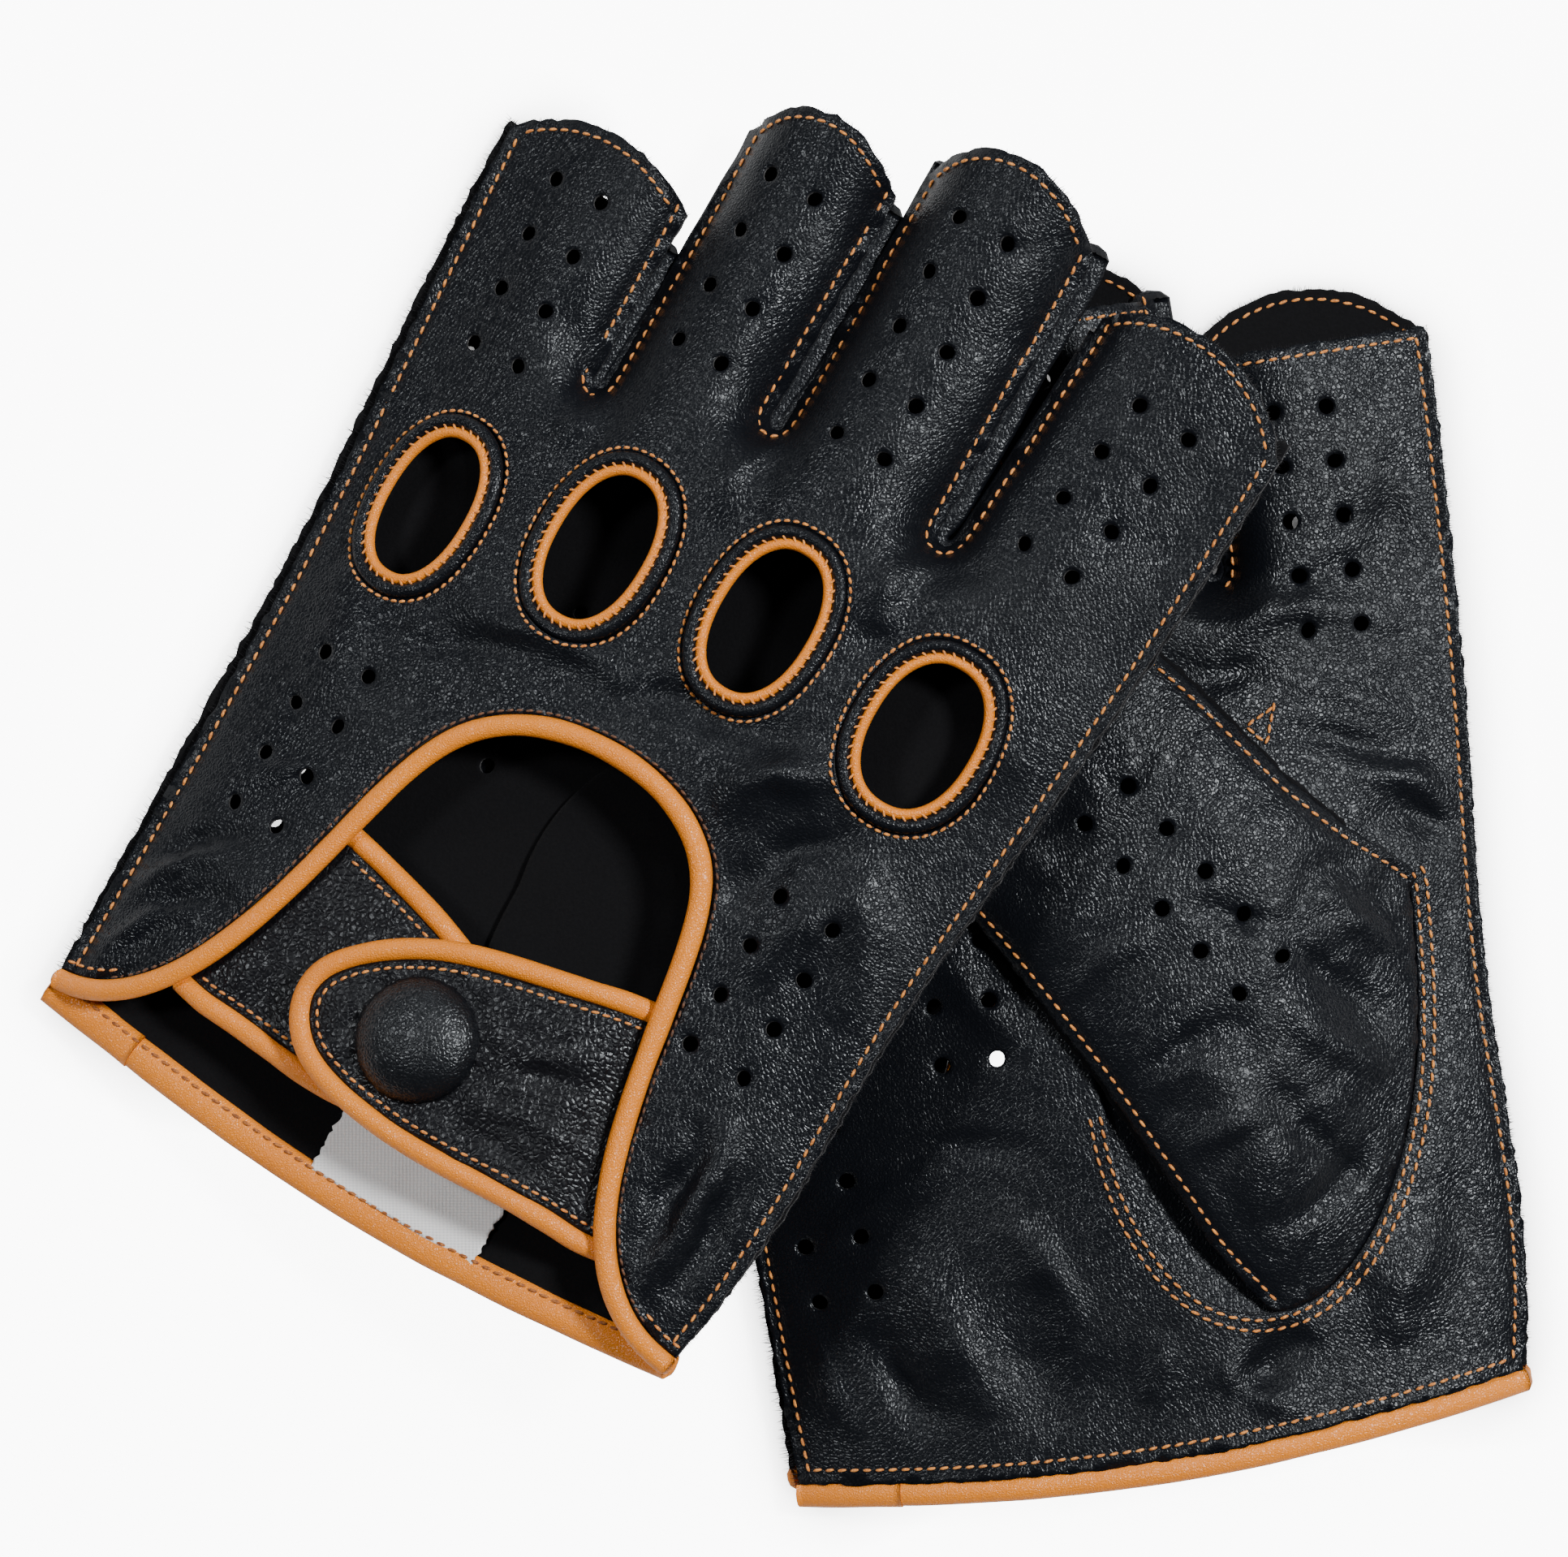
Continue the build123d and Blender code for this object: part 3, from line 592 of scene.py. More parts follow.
def tube(path, normals, width, height, closed=False, sides=14, taper=0.5, sag=0.35):
    """A rolled binding: a rounded section, flatter underneath by sag, swept along a path."""
    t, s, n = frames_along(path, normals, closed)
    count = len(path)
    width, height = np.broadcast_to(width, count), np.broadcast_to(height, count)
    angle = np.linspace(0, 2 * math.pi, sides, endpoint=False)
    cu, cv = np.cos(angle), np.sin(angle)
    cv = np.where(cv < 0, cv * (1 - sag), cv)
    verts = np.vstack([path[i] + np.outer(cu, s[i]) * width[i] / 2 + np.outer(cv, n[i]) * height[i] / 2
                       for i in range(count)])
    faces = []
    for i in range(count if closed else count - 1):
        a, b = i * sides, ((i + 1) % count) * sides
        for k in range(sides):
            q = (k + 1) % sides
            faces.append((b + k, b + q, a + q, a + k))
    if closed:
        return verts, faces
    for end, sign in ((0, -1), (count - 1, 1)):  # rounded ends: a narrower ring, then a tip
        out = t[end] * sign * width[end] * taper
        base, at = end * sides, len(verts)
        neck = path[end] + (verts[base : base + sides] - path[end]) * 0.62 + out * 0.36
        verts = np.vstack([verts, neck, path[end] + out * 0.5])
        for k in range(sides):
            q = (k + 1) % sides
            for f in ((base + k, base + q, at + q, at + k), (at + k, at + q, at + sides)):
                faces.append(f if sign > 0 else f[::-1])
    return verts, faces


def merged(parts):
    verts, faces, at = [], [], 0
    for v, f in parts:
        verts.append(v)
        faces += [tuple(int(i) + at for i in q) for q in f]
        at += len(v)
    return np.vstack(verts), faces


def turned(profile, sides):
    """A closed shape turned about Z, from (radius, height) points that start and end on the axis."""
    angle = 2 * math.pi * np.arange(sides) / sides
    circle = np.column_stack([np.cos(angle), np.sin(angle)])
    rings = [np.column_stack([circle * r, np.full(sides, z)]) for r, z in profile[1:-1]]
    verts = np.vstack([[(0, 0, profile[0][1])], *rings, [(0, 0, profile[-1][1])]])
    faces, last = [], len(verts) - 1
    for k in range(sides):
        q = (k + 1) % sides
        faces.append((0, 1 + k, 1 + q))
        faces += [(a + k, a + sides + k, a + sides + q, a + q) for a in range(1, last - sides, sides)]
        faces.append((last - sides + k, last, last - sides + q))
    return verts, faces


def capsule(rings=6, sides=7):
    """A stitch along X of unit half length and half width, flattened at its ends."""
    x = -np.cos(math.pi * np.arange(rings + 1) / rings)
    verts, faces = turned(np.column_stack([np.sqrt(1 - np.abs(x) ** 2.6), x]), sides)
    return np.roll(verts, 1, axis=1), [(f[0], *f[:0:-1]) for f in faces]


CAPSULE = capsule()


def stitches(path, normals, pitch=STITCH_PITCH, length=STITCH_LENGTH, width=STITCH_WIDTH, seed=5):
    """A row of stitches along a 3-D path, one closed capsule each."""
    even = resample(np.column_stack([path, normals]), pitch / 2)
    spots = even[1::2]
    if len(spots) < 2:
        return np.zeros((0, 3)), []
    p, n = spots[:, :3], spots[:, 3:]
    t = tangents(even[:, :3])[1::2]
    n = n / np.linalg.norm(n, axis=1, keepdims=True)
    s = np.cross(n, t)
    wob = hash_noise(np.column_stack([np.arange(len(p)) * 0.73, np.full(len(p), 0.5)]), seed)
    lean = STITCH_SLANT + wob * 0.09
    t2 = t * np.cos(lean)[:, None] + s * np.sin(lean)[:, None]
    s2 = np.cross(n, t2)
    base, faces = CAPSULE
    size = 1 + 0.08 * wob
    arch = 0.28 * width * (1 - base[:, 0] ** 2)
    verts = (
        p[:, None, :]
        + t2[:, None, :] * (base[:, 0] * length / 2)[None, :, None] * size[:, None, None]
        + s2[:, None, :] * (base[:, 1] * width / 2)[None, :, None]
        + n[:, None, :] * (base[:, 2] * width / 2 + arch)[None, :, None]
    ).reshape(-1, 3)
    return verts, [[k + i * len(base) for k in f] for i in range(len(p)) for f in faces]


def face_normals(path, side, face):
    """Outward normals of a face along a plan path."""
    reach = 0.6
    slopes = []
    for step in np.eye(2) * reach:
        ahead, behind = (face_height(path + way, side, face, False) for way in (step, -step))
        slopes.append((ahead - behind) / (2 * reach))
    n = np.column_stack([-slopes[0], -slopes[1], np.ones(len(path))])
    n /= np.linalg.norm(n, axis=1, keepdims=True)
    return n * outward(side, face)


# ---------------------------------------------------------------- materials

WAVE, NOISE, VORONOI = "ShaderNodeTexWave", "ShaderNodeTexNoise", "ShaderNodeTexVoronoi"
WHITE = (1, 1, 1, 1)


def node(tree, kind, **values):
    """A node whose inputs take numbers or other nodes' sockets, and whose properties take the rest."""
    n = tree.nodes.new(kind)
    for key, value in values.items():
        if isinstance(value, bpy.types.NodeSocket):
            tree.links.new(value, n.inputs[key])
        elif key in n.inputs:
            n.inputs[key].default_value = value
        else:
            setattr(n, key, value)
    return n


def new_material(name, rough, **settings):
    """A Principled material, with its tree, its shader and its object coordinates."""
    m = bpy.data.materials.new(name)
    m.use_nodes = True
    tree = m.node_tree
    bsdf = tree.nodes["Principled BSDF"]
    for key, value in {"Roughness": rough, **settings}.items():
        bsdf.inputs[key].default_value = value
    return m, tree, bsdf, node(tree, "ShaderNodeTexCoord").outputs["Object"]


def ramp(tree, source, low, high, from_low=0.0, from_high=1.0):
    ends = {"From Min": from_low, "From Max": from_high, "To Min": low, "To Max": high}
    return node(tree, "ShaderNodeMapRange", Value=source, **ends).outputs["Result"]


def colour(tree, bsdf, factor, dark, light):
    n = node(tree, "ShaderNodeMix", data_type="RGBA")
    tree.links.new(factor, n.inputs["Factor"])
    n.inputs[6].default_value = (*dark, 1)
    n.inputs[7].default_value = (*light, 1)
    tree.links.new(n.outputs[2], bsdf.inputs["Base Color"])


def maths(tree, operation, a, b):
    n = node(tree, "ShaderNodeMath", operation=operation)
    for socket, value in zip(n.inputs, (a, b)):
        if isinstance(value, (int, float)):
            socket.default_value = value
        else:
            tree.links.new(value, socket)
    return n.outputs[0]


def bump(tree, bsdf, height, depth):
    n = node(tree, "ShaderNodeBump", Strength=1.0, Distance=depth * MM, Height=height)
    tree.links.new(n.outputs["Normal"], bsdf.inputs["Normal"])


def leather(name, dark, light, grain, depth, rough, wrinkle, specular=0.5, tint=(0.92, 0.965, 1.0, 1.0)):
    """Pebbled leather: grain is the size of a pebble and depth its height, in millimetres."""
    settings = {"Specular IOR Level": specular, "Specular Tint": tint}
    m, tree, bsdf, at = new_material(name, rough, **settings)
    size = grain * MM
    warp = node(tree, NOISE, Vector=at, Scale=0.35 / size, Detail=2.0)
    shift = node(tree, "ShaderNodeVectorMath", operation="MULTIPLY_ADD")
    shift.inputs[1].default_value = (size * 1.1,) * 3
    for socket, value in ((0, warp.outputs["Color"]), (2, at)):
        tree.links.new(value, shift.inputs[socket])
    cells = node(tree, VORONOI, Vector=shift.outputs[0], Scale=1 / size, feature="DISTANCE_TO_EDGE")
    small = node(tree, VORONOI, Vector=shift.outputs[0], Scale=2.3 / size, feature="SMOOTH_F1")
    lines = node(tree, NOISE, Vector=at, Scale=0.22 / size, Detail=5.0, Roughness=0.62)
    pebble = maths(tree, "MULTIPLY", ramp(tree, cells.outputs["Distance"], 0.0, 1.0, 0.0, 0.28), 0.75)
    fine = maths(tree, "MULTIPLY", small.outputs["Distance"], -0.45)
    rough_lines = maths(tree, "MULTIPLY", lines.outputs["Fac"], wrinkle)
    bump(tree, bsdf, maths(tree, "ADD", maths(tree, "ADD", pebble, fine), rough_lines), depth)
    patch = node(tree, NOISE, Vector=at, Scale=60.0, Detail=4.0, Roughness=0.6).outputs["Fac"]
    tone = maths(tree, "ADD", maths(tree, "MULTIPLY", patch, 0.7), maths(tree, "MULTIPLY", pebble, 0.35))
    colour(tree, bsdf, tone, dark, light)
    worn = ramp(tree, patch, rough + 0.07, rough - 0.07, 0.3, 0.7)
    tree.links.new(worn, bsdf.inputs["Roughness"])
    return m


def speckled(name, rough, dark, light, scale, detail, depth, sharp=None, **settings):
    """A material whose colour and bump follow one fine noise; rough may be a range that follows it too."""
    m, tree, bsdf, at = new_material(name, 0.5, **settings)
    fleck = node(tree, NOISE, Vector=at, Scale=scale, Detail=detail).outputs["Fac"]
    colour(tree, bsdf, ramp(tree, fleck, 0, 1, *sharp) if sharp else fleck, dark, light)
    bump(tree, bsdf, fleck, depth)
    if isinstance(rough, tuple):
        tree.links.new(ramp(tree, fleck, *rough), bsdf.inputs["Roughness"])
    else:
        bsdf.inputs["Roughness"].default_value = rough
    return m


def suede(name, dark, light, depth, sheen):
    settings = {"Specular IOR Level": 0.1, "Sheen Weight": sheen}
    return speckled(name, 0.95, dark, light, 2600.0, 3.0, depth, **settings)


def thread(name, dark, light):
    return speckled(name, 0.62, dark, light, 3200.0, 2.0, 0.06, (0.35, 0.65), **{"Sheen Weight": 0.15})


def satin(name, dark, light):
    m, tree, bsdf, at = new_material(name, 0.42, **{"Sheen Weight": 0.3})
    threads = [node(tree, WAVE, Vector=at, Scale=scale, Distortion=0.6, bands_direction=way).outputs["Fac"]
               for scale, way in ((700.0, "X"), (900.0, "Y"))]
    weave = maths(tree, "ADD", *(maths(tree, "MULTIPLY", fac, 0.5) for fac in threads))
    colour(tree, bsdf, weave, dark, light)
    bump(tree, bsdf, weave, 0.05)
    return m


BLACK = leather("black_leather", (0.0025, 0.003, 0.0045), (0.006, 0.007, 0.0095), 0.5, 0.05, 0.31, 0.4, 0.23)
COARSE = leather("coarse_leather", (0.0025, 0.0025, 0.0035), (0.007, 0.007, 0.009),
                 0.72, 0.08, 0.33, 0.7, 0.26)
CAPSKIN = leather("cap_leather", (0.0025, 0.003, 0.0045), (0.007, 0.008, 0.01), 0.5, 0.05, 0.31, 0.2, 0.4)
TAN = leather("tan_leather", (0.7, 0.19, 0.009), (0.92, 0.29, 0.014), 0.36, 0.06, 0.36, 0.8, tint=WHITE)
LINING = suede("black_suede", (0.0025, 0.0025, 0.003), (0.006, 0.006, 0.007), 0.12, 0.06)
RAW = suede("raw_edge", (0.004, 0.004, 0.005), (0.02, 0.02, 0.023), 0.3, 0.12)
THREAD = thread("orange_thread", (0.42, 0.12, 0.016), (0.9, 0.35, 0.06))
HEM_THREAD = thread("hem_thread", (0.2, 0.055, 0.01), (0.5, 0.17, 0.03))
FINE_THREAD = thread("brown_thread", (0.03, 0.014, 0.008), (0.16, 0.06, 0.02))
SATIN = satin("white_satin", (0.72, 0.73, 0.74), (0.9, 0.9, 0.89))
METAL = speckled("antique_brass", (0.25, 0.5), (0.2, 0.15, 0.09), (0.5, 0.4, 0.25), 900.0, 5.0, 0.02,
                 Metallic=1.0)
SKIN = (BLACK, LINING, RAW)  # outside, inside and edge of a sheet


# ---------------------------------------------------------------- panels, seams and bindings

SNAP = np.array([0.1, 18.5])
# keeps the hidden panel's punched holes off the line of those above
HIDDEN_SHIFT = {("right", "back"): (2.0, 0.5), ("left", "palm"): (0.0, 2.2)}
# from a knuckle's clear hole outwards: tan binding, overcast stitches, black roll, the panel's edge
BINDING_OUT, OVERCAST_OUT, ROLL_OUT, KNUCKLE_RIM = 0.76, 1.38, 2.2, 3.1
OVERCAST_PITCH, OVERCAST_HALF_LENGTH, OVERCAST_HALF_WIDTH = 1.25, 0.56, 0.16
FUZZ_PITCH = 0.28
# the palm's hem binding: how far it stands out past the edge, its width and its height over the palm
HEM = {"left": (0.5, 4.3, -0.75), "right": (1.25, 3.2, -1.35)}
HEM_HEIGHT, HEM_LAP = 2.3, 3  # the lap is in points of its path
LABEL_TUCK = 2.6  # how far the label runs on under the hem


def ellipse(centre, half, count):
    a = np.linspace(0, 2 * math.pi, count, endpoint=False)
    p = 2.25  # a little squarer than an ellipse
    x, y = np.cos(a), np.sin(a)
    r = (np.abs(x) ** p + np.abs(y) ** p) ** (-1 / p)
    return centre + np.column_stack([x * r * half[0], y * r * half[1]])


def box_of(loop):
    lo, hi = loop.min(0), loop.max(0)
    return (lo + hi) / 2, (hi - lo) / 2


def split_holes(side, face):
    big, small = [], []
    for loop in HOLES[side, face]:
        (big if abs(area_of(loop)) > BIG_HOLE else small).append(loop)
    return big, small


def punched(loops, move=(0.0, 0.0)):
    """Hand-punched holes, each a little out of round."""
    holes = []
    a = np.linspace(0, 2 * math.pi, 14, endpoint=False)
    for i, loop in enumerate(loops):
        spin, squeeze = i * 1.7, 0.93 + 0.07 * math.sin(i * 2.3)
        x, y = np.cos(a), np.sin(a) * squeeze
        x, y = x * math.cos(spin) - y * math.sin(spin), x * math.sin(spin) + y * math.cos(spin)
        holes.append(box_of(loop)[0] + np.array(move) + np.column_stack([x, y]) * HOLE_RADIUS)
    return holes


def build_panel(side, face):
    outline = OUTLINES[side, face]
    big, small = split_holes(side, face)
    holes = punched(small, HIDDEN_SHIFT.get((side, face), (0.0, 0.0)))
    if face == "back":
        holes += [ellipse(c, h, 56) for c, h in map(box_of, big)]
    else:
        holes.append(resample(smoothed(resample(big[0], 1.0, True), 3, True), 0.9, True))
    seed = 3 if face == "back" else 8
    xy, tri = fill(outline, holes, ragged=0.22, seed=seed)
    sign = outward(side, face)
    z = face_height(xy, side, face)
    # raw edges wave a little, and the skin sinks round the punched holes
    near = np.min([np.linalg.norm(xy - q.mean(0), axis=1) for q in holes[: len(small)]], axis=0)
    z = z - sign * 0.16 * np.exp(-(((near - HOLE_RADIUS) / 0.5) ** 2))
    lip = np.clip(1 - distance_to(xy, outline, True) / 1.1, 0, 1)
    z = z + sign * lip * (0.12 + 0.16 * fractal(xy / 2.2, seed + 60, 2))
    if UPPER_FACE[side] != face:
        z = np.maximum(z, -0.2)
    sheet_object(f"{face}_skin", side, xy, tri, z, z - sign * LEATHER, SKIN, "glove", [f"{face}_panel"])


def fuzz(side, face):
    """Short suede fibres along the raw side edges."""
    sign = outward(side, face)
    rng = np.random.default_rng(41 if face == "back" else 43)
    verts, faces = [], []
    for name in ("little_side", "index_side", *(f"tip_{finger}" for finger in FINGERS)):
        path = resample(CURVES[side, face][name], FUZZ_PITCH)
        t = tangents(path)
        out = np.stack([t[:, 1], -t[:, 0]], axis=1)
        z = face_height(path, side, face, False) - sign * 0.45
        for p, o, d, h in zip(path, out, t, z):
            reach = rng.uniform(0.15, 0.75) * (1.7 if name == "little_side" else 0.9)
            lean = rng.uniform(-0.5, 0.5)
            w = rng.uniform(0.05, 0.11)
            lift = rng.uniform(-0.3, 0.4)
            root = np.array([*(p - o * 0.15), h])
            tip = np.array([*(p + o * reach + d * lean * reach), h + lift * reach])
            a = np.array([*(d * w), 0.0])
            b = np.array([0.0, 0.0, w])
            at = len(verts)
            verts += [root + a, root - a * 0.5 + b, root - a * 0.5 - b, tip]
            faces += [(at + i, at + j, at + k) for i, j, k in ((0, 1, 3), (1, 2, 3), (2, 0, 3), (0, 2, 1))]
    make_object(f"{face}_fuzz", side, verts, faces, RAW, "glove", smooth=False)


def row(path, side, face, raise_by=STITCH_RAISE, way=1, **options):
    """Stitches along a plan path on a face, or on its inner side when way is -1."""
    even = resample(path, 0.6)
    return stitches(on_face(even, side, face, raise_by), way * face_normals(even, side, face), **options)


def inset_path(name, side, face, distance, step=0.5, rounds=4):
    return shifted(smoothed(resample(CURVES[side, face][name], step), rounds), distance)


def tip_path(finger, side, face):
    return inset_path(f"tip_{finger}", side, face, TIP_INSET)[3:-3]


def seam_rows(side, face):
    rows = [row(inset_path(name, side, face, SEAM_INSET)[2:-2], side, face, seed=i + 3)
            for i, name in enumerate(("index_side", "little_side"))]
    rows += [row(inset_path(f"gap_{finger}", side, face, GAP_INSET), side, face, seed=i + 7)
             for i, finger in enumerate(FINGERS[:3])]
    rows += [row(tip_path(finger, side, face), side, face, seed=i + 11) for i, finger in enumerate(FINGERS)]
    return rows


def build_back_seams(side):
    rows = seam_rows(side, "back")
    for i, (centre, half) in enumerate(map(box_of, split_holes(side, "back")[0])):
        ring = ellipse(centre, half + 0.4, 90)
        rows.append(row(np.vstack([ring, ring[:1]]), side, "back", pitch=1.18, length=0.86, seed=i + 20))
    bottom = inset_path("bottom", side, "back", TIP_INSET)
    rows += [row(end, side, "back", seed=31) for end in (bottom[:18], bottom[-14:])]
    if side == "right":  # the other side of the tips' stitches shows in the open fingers
        rows += [row(tip_path(finger, side, "back"), side, "back", -LEATHER - STITCH_RAISE, -1, seed=i + 41)
                 for i, finger in enumerate(FINGERS)]
    make_object("back_stitches", side, *merged(rows), THREAD, "glove", ["back_thread"])
    fine = inset_path("bottom", side, "back", 0.45)[14:-12]
    make_object("opening_stitches", side, *row(fine, side, "back", 0.1, pitch=1.25, length=0.95, width=0.34),
                FINE_THREAD, "glove")


def build_knuckles(side):
    """A black roll, a tan binding and overcast stitches round each knuckle hole."""
    collars, bindings, overcast = [], [], []
    base, faces = CAPSULE
    for centre, half in map(box_of, split_holes(side, "back")[0]):
        clear = half - KNUCKLE_RIM
        path = ellipse(centre, clear + ROLL_OUT, 84)
        n = face_normals(path, side, "back")
        at = on_face(path, side, "back", 0.2, False)
        ripple = 1 + 0.05 * hash_noise(path / 1.6, 71)
        collars.append(tube(at, n, 1.75 * ripple, 1.7 * ripple, closed=True))
        at = on_face(ellipse(centre, clear + BINDING_OUT, 84), side, "back", 0.05, False)
        bindings.append(tube(at, n, 1.35, 1.6, closed=True))
        at = on_face(ellipse(centre, clear + OVERCAST_OUT, 84), side, "back", 0.62, False)
        even = resample(np.column_stack([at, n]), OVERCAST_PITCH, True)
        t = tangents(even[:, :3], True)
        lean = 0.88 * np.cross(even[:, 3:], t) - 0.56 * t  # each stitch lies across the roll, a little askew
        for p, d, m in zip(even[:, :3], lean + 0.03 * even[:, 3:], even[:, 3:]):
            d = d / np.linalg.norm(d)
            axes = np.array([d * OVERCAST_HALF_LENGTH, np.cross(m, d) * OVERCAST_HALF_WIDTH,
                             m * OVERCAST_HALF_WIDTH])
            overcast.append((p + m * 0.1 + base @ axes, faces))
    make_object("knuckle_rolls", side, *merged(collars), BLACK, "glove", ["knuckle_collars"])
    make_object("knuckle_bindings", side, *merged(bindings), TAN, "glove", ["knuckle_pipings"])
    make_object("knuckle_overcast", side, *merged(overcast), THREAD, "glove")


def build_edges(side):
    """The rolled binding of the back opening and of the palm's hem, and the palm's stitches."""
    path = inset_path("bottom", side, "back", -1.35, 0.9, 6)
    n = face_normals(path, side, "back")
    at = on_face(path, side, "back", 0.0, False)
    wob = 1 + 0.035 * hash_noise(path / 5.0, 81)
    make_object("opening_binding", side, *tube(at, n, PIPING_WIDTH * wob, PIPING_HEIGHT * wob, sides=18),
                TAN, "glove", ["opening_piping"])

    out, width, sunk = HEM[side]
    path = inset_path("bottom", side, "palm", -out, 0.9, 6)
    n = face_normals(path, side, "palm")
    at = on_face(path, side, "palm", sunk, False)
    wob = 1 + 0.05 * hash_noise(path / 6.0, 83)
    join = len(path) // 8  # the hem's two ends overlap near the little finger's side
    end = join + HEM_LAP
    pieces = [tube(at[join:], n[join:], width * wob[join:], HEM_HEIGHT * wob[join:], sides=20, sag=0.0),
              tube(at[:end], n[:end], width * 1.09 * wob[:end], 2.5, sides=20, sag=0.0, taper=0.12)]
    make_object("hem_binding", side, *merged(pieces), TAN, "glove", ["cuff_piping"])
    inner = inset_path("bottom", side, "palm", 0.75, 0.6, 8)[4:-4]
    under = stitches(on_face(inner, side, "palm", -1.74, False), -face_normals(inner, side, "palm"),
                     width=0.42, length=1.2)
    make_object("hem_stitches", side, *under, HEM_THREAD, "glove")
    outer = row(inset_path("bottom", side, "palm", 1.75)[3:-3], side, "palm", seed=91)
    rows = [outer, *seam_rows(side, "palm"), *thumb_seam_rows(side)]
    make_object("palm_stitches", side, *merged(rows), THREAD, "glove", ["palm_thread"])


def build_fourchettes(side):
    """The side strips of the fingers, folded out between back and palm."""
    for finger, nodes in (("index", "middle_index"), ("middle", "ring_middle"), ("ring", "little_ring")):
        path = inset_path(f"gap_{finger}", side, "palm", 0.55, 0.7, 3)
        share = np.linspace(0, 1, len(path))
        bulge = smoothed(np.where(share < 0.47, 2.3, 5.0 if finger != "ring" else 4.2), 24)
        bulge *= 1 + 0.12 * hash_noise(path / 4.0, 95)
        middle = np.column_stack([path, np.full(len(path), SEAM_Z)])
        strip = tube(middle, np.tile([0.0, 0.0, 1.0], (len(path), 1)), bulge, 1.7, sides=12, sag=0.0)
        make_object(f"fourchette_{nodes}_strip", side, *strip, BLACK, "glove", [f"fourchette_{nodes}"])


def build_label(side):
    centre, half = box_of(plan_loops(f"{side}_label", side)[0])
    x = np.linspace(centre[0] - half[0], centre[0] + half[0], 60)
    y = np.linspace(centre[1] - half[1] - LABEL_TUCK, centre[1] + half[1], 36)
    gx, gy = np.meshgrid(x, y)
    xy = np.column_stack([gx.ravel(), gy.ravel()])
    xy[:, 0] += (np.abs(xy[:, 0] - centre[0]) > half[0] - 0.5) * hash_noise(xy * [0, 1.9], 5) * 0.3  # frayed
    w = len(x)
    a = (np.arange(len(y) - 1)[:, None] * w + np.arange(w - 1)).ravel()
    tri = np.stack([a, a + 1, a + w + 1, a, a + w + 1, a + w], axis=1).reshape(-1, 3)
    sign = outward(side, "palm")
    wave = 0.22 * fractal(xy / 7.0, 97, 2)
    z = face_height(xy, side, "palm") - sign * (LEATHER + 0.5 + wave)
    sheet_object("label_satin", side, xy, tri, z, z - sign * 0.25, (SATIN, SATIN, SATIN), "glove", ["label"])


# ---------------------------------------------------------------- strap, tab and snap


def free_edge(loop, hinge_end):
    """A flap's outline without its straight hinge end, which faces hinge_end along X."""
    loop = facing(loop)
    corners = sorted(corner_indices(loop, 35), key=lambda i: -hinge_end * loop[i, 0])
    a, b = sorted(corners[:2])
    return max(loop[a : b + 1], np.vstack([loop[b:], loop[: a + 1]]), key=length_of)


# folds the snap pulls into the strap: start, end, width, height
STRAP_FOLDS = [
    ((9.5, 19.5), (25, 24.5), 0.9, -0.6), ((9.5, 21.5), (24, 28), 1.1, 0.5), ((9, 15), (27, 17), 1.2, 0.35),
    ((8, 11.5), (24, 12), 0.9, -0.4), ((6, 9.5), (20, 5), 1.2, 0.35), ((-9, 12), (-4, 8), 1.0, -0.35),
    ((-9, 24), (-4, 29), 1.0, -0.4), ((12, 8), (26, 8), 0.9, 0.3), ((10, 18), (20, 20), 0.7, 0.3),
]
ROOT_LIFT = -1.75  # a flap's outer face where it goes under the back, from the back's outer face
CAP_RIM = 8.3  # from the snap's middle to the dip round its cap


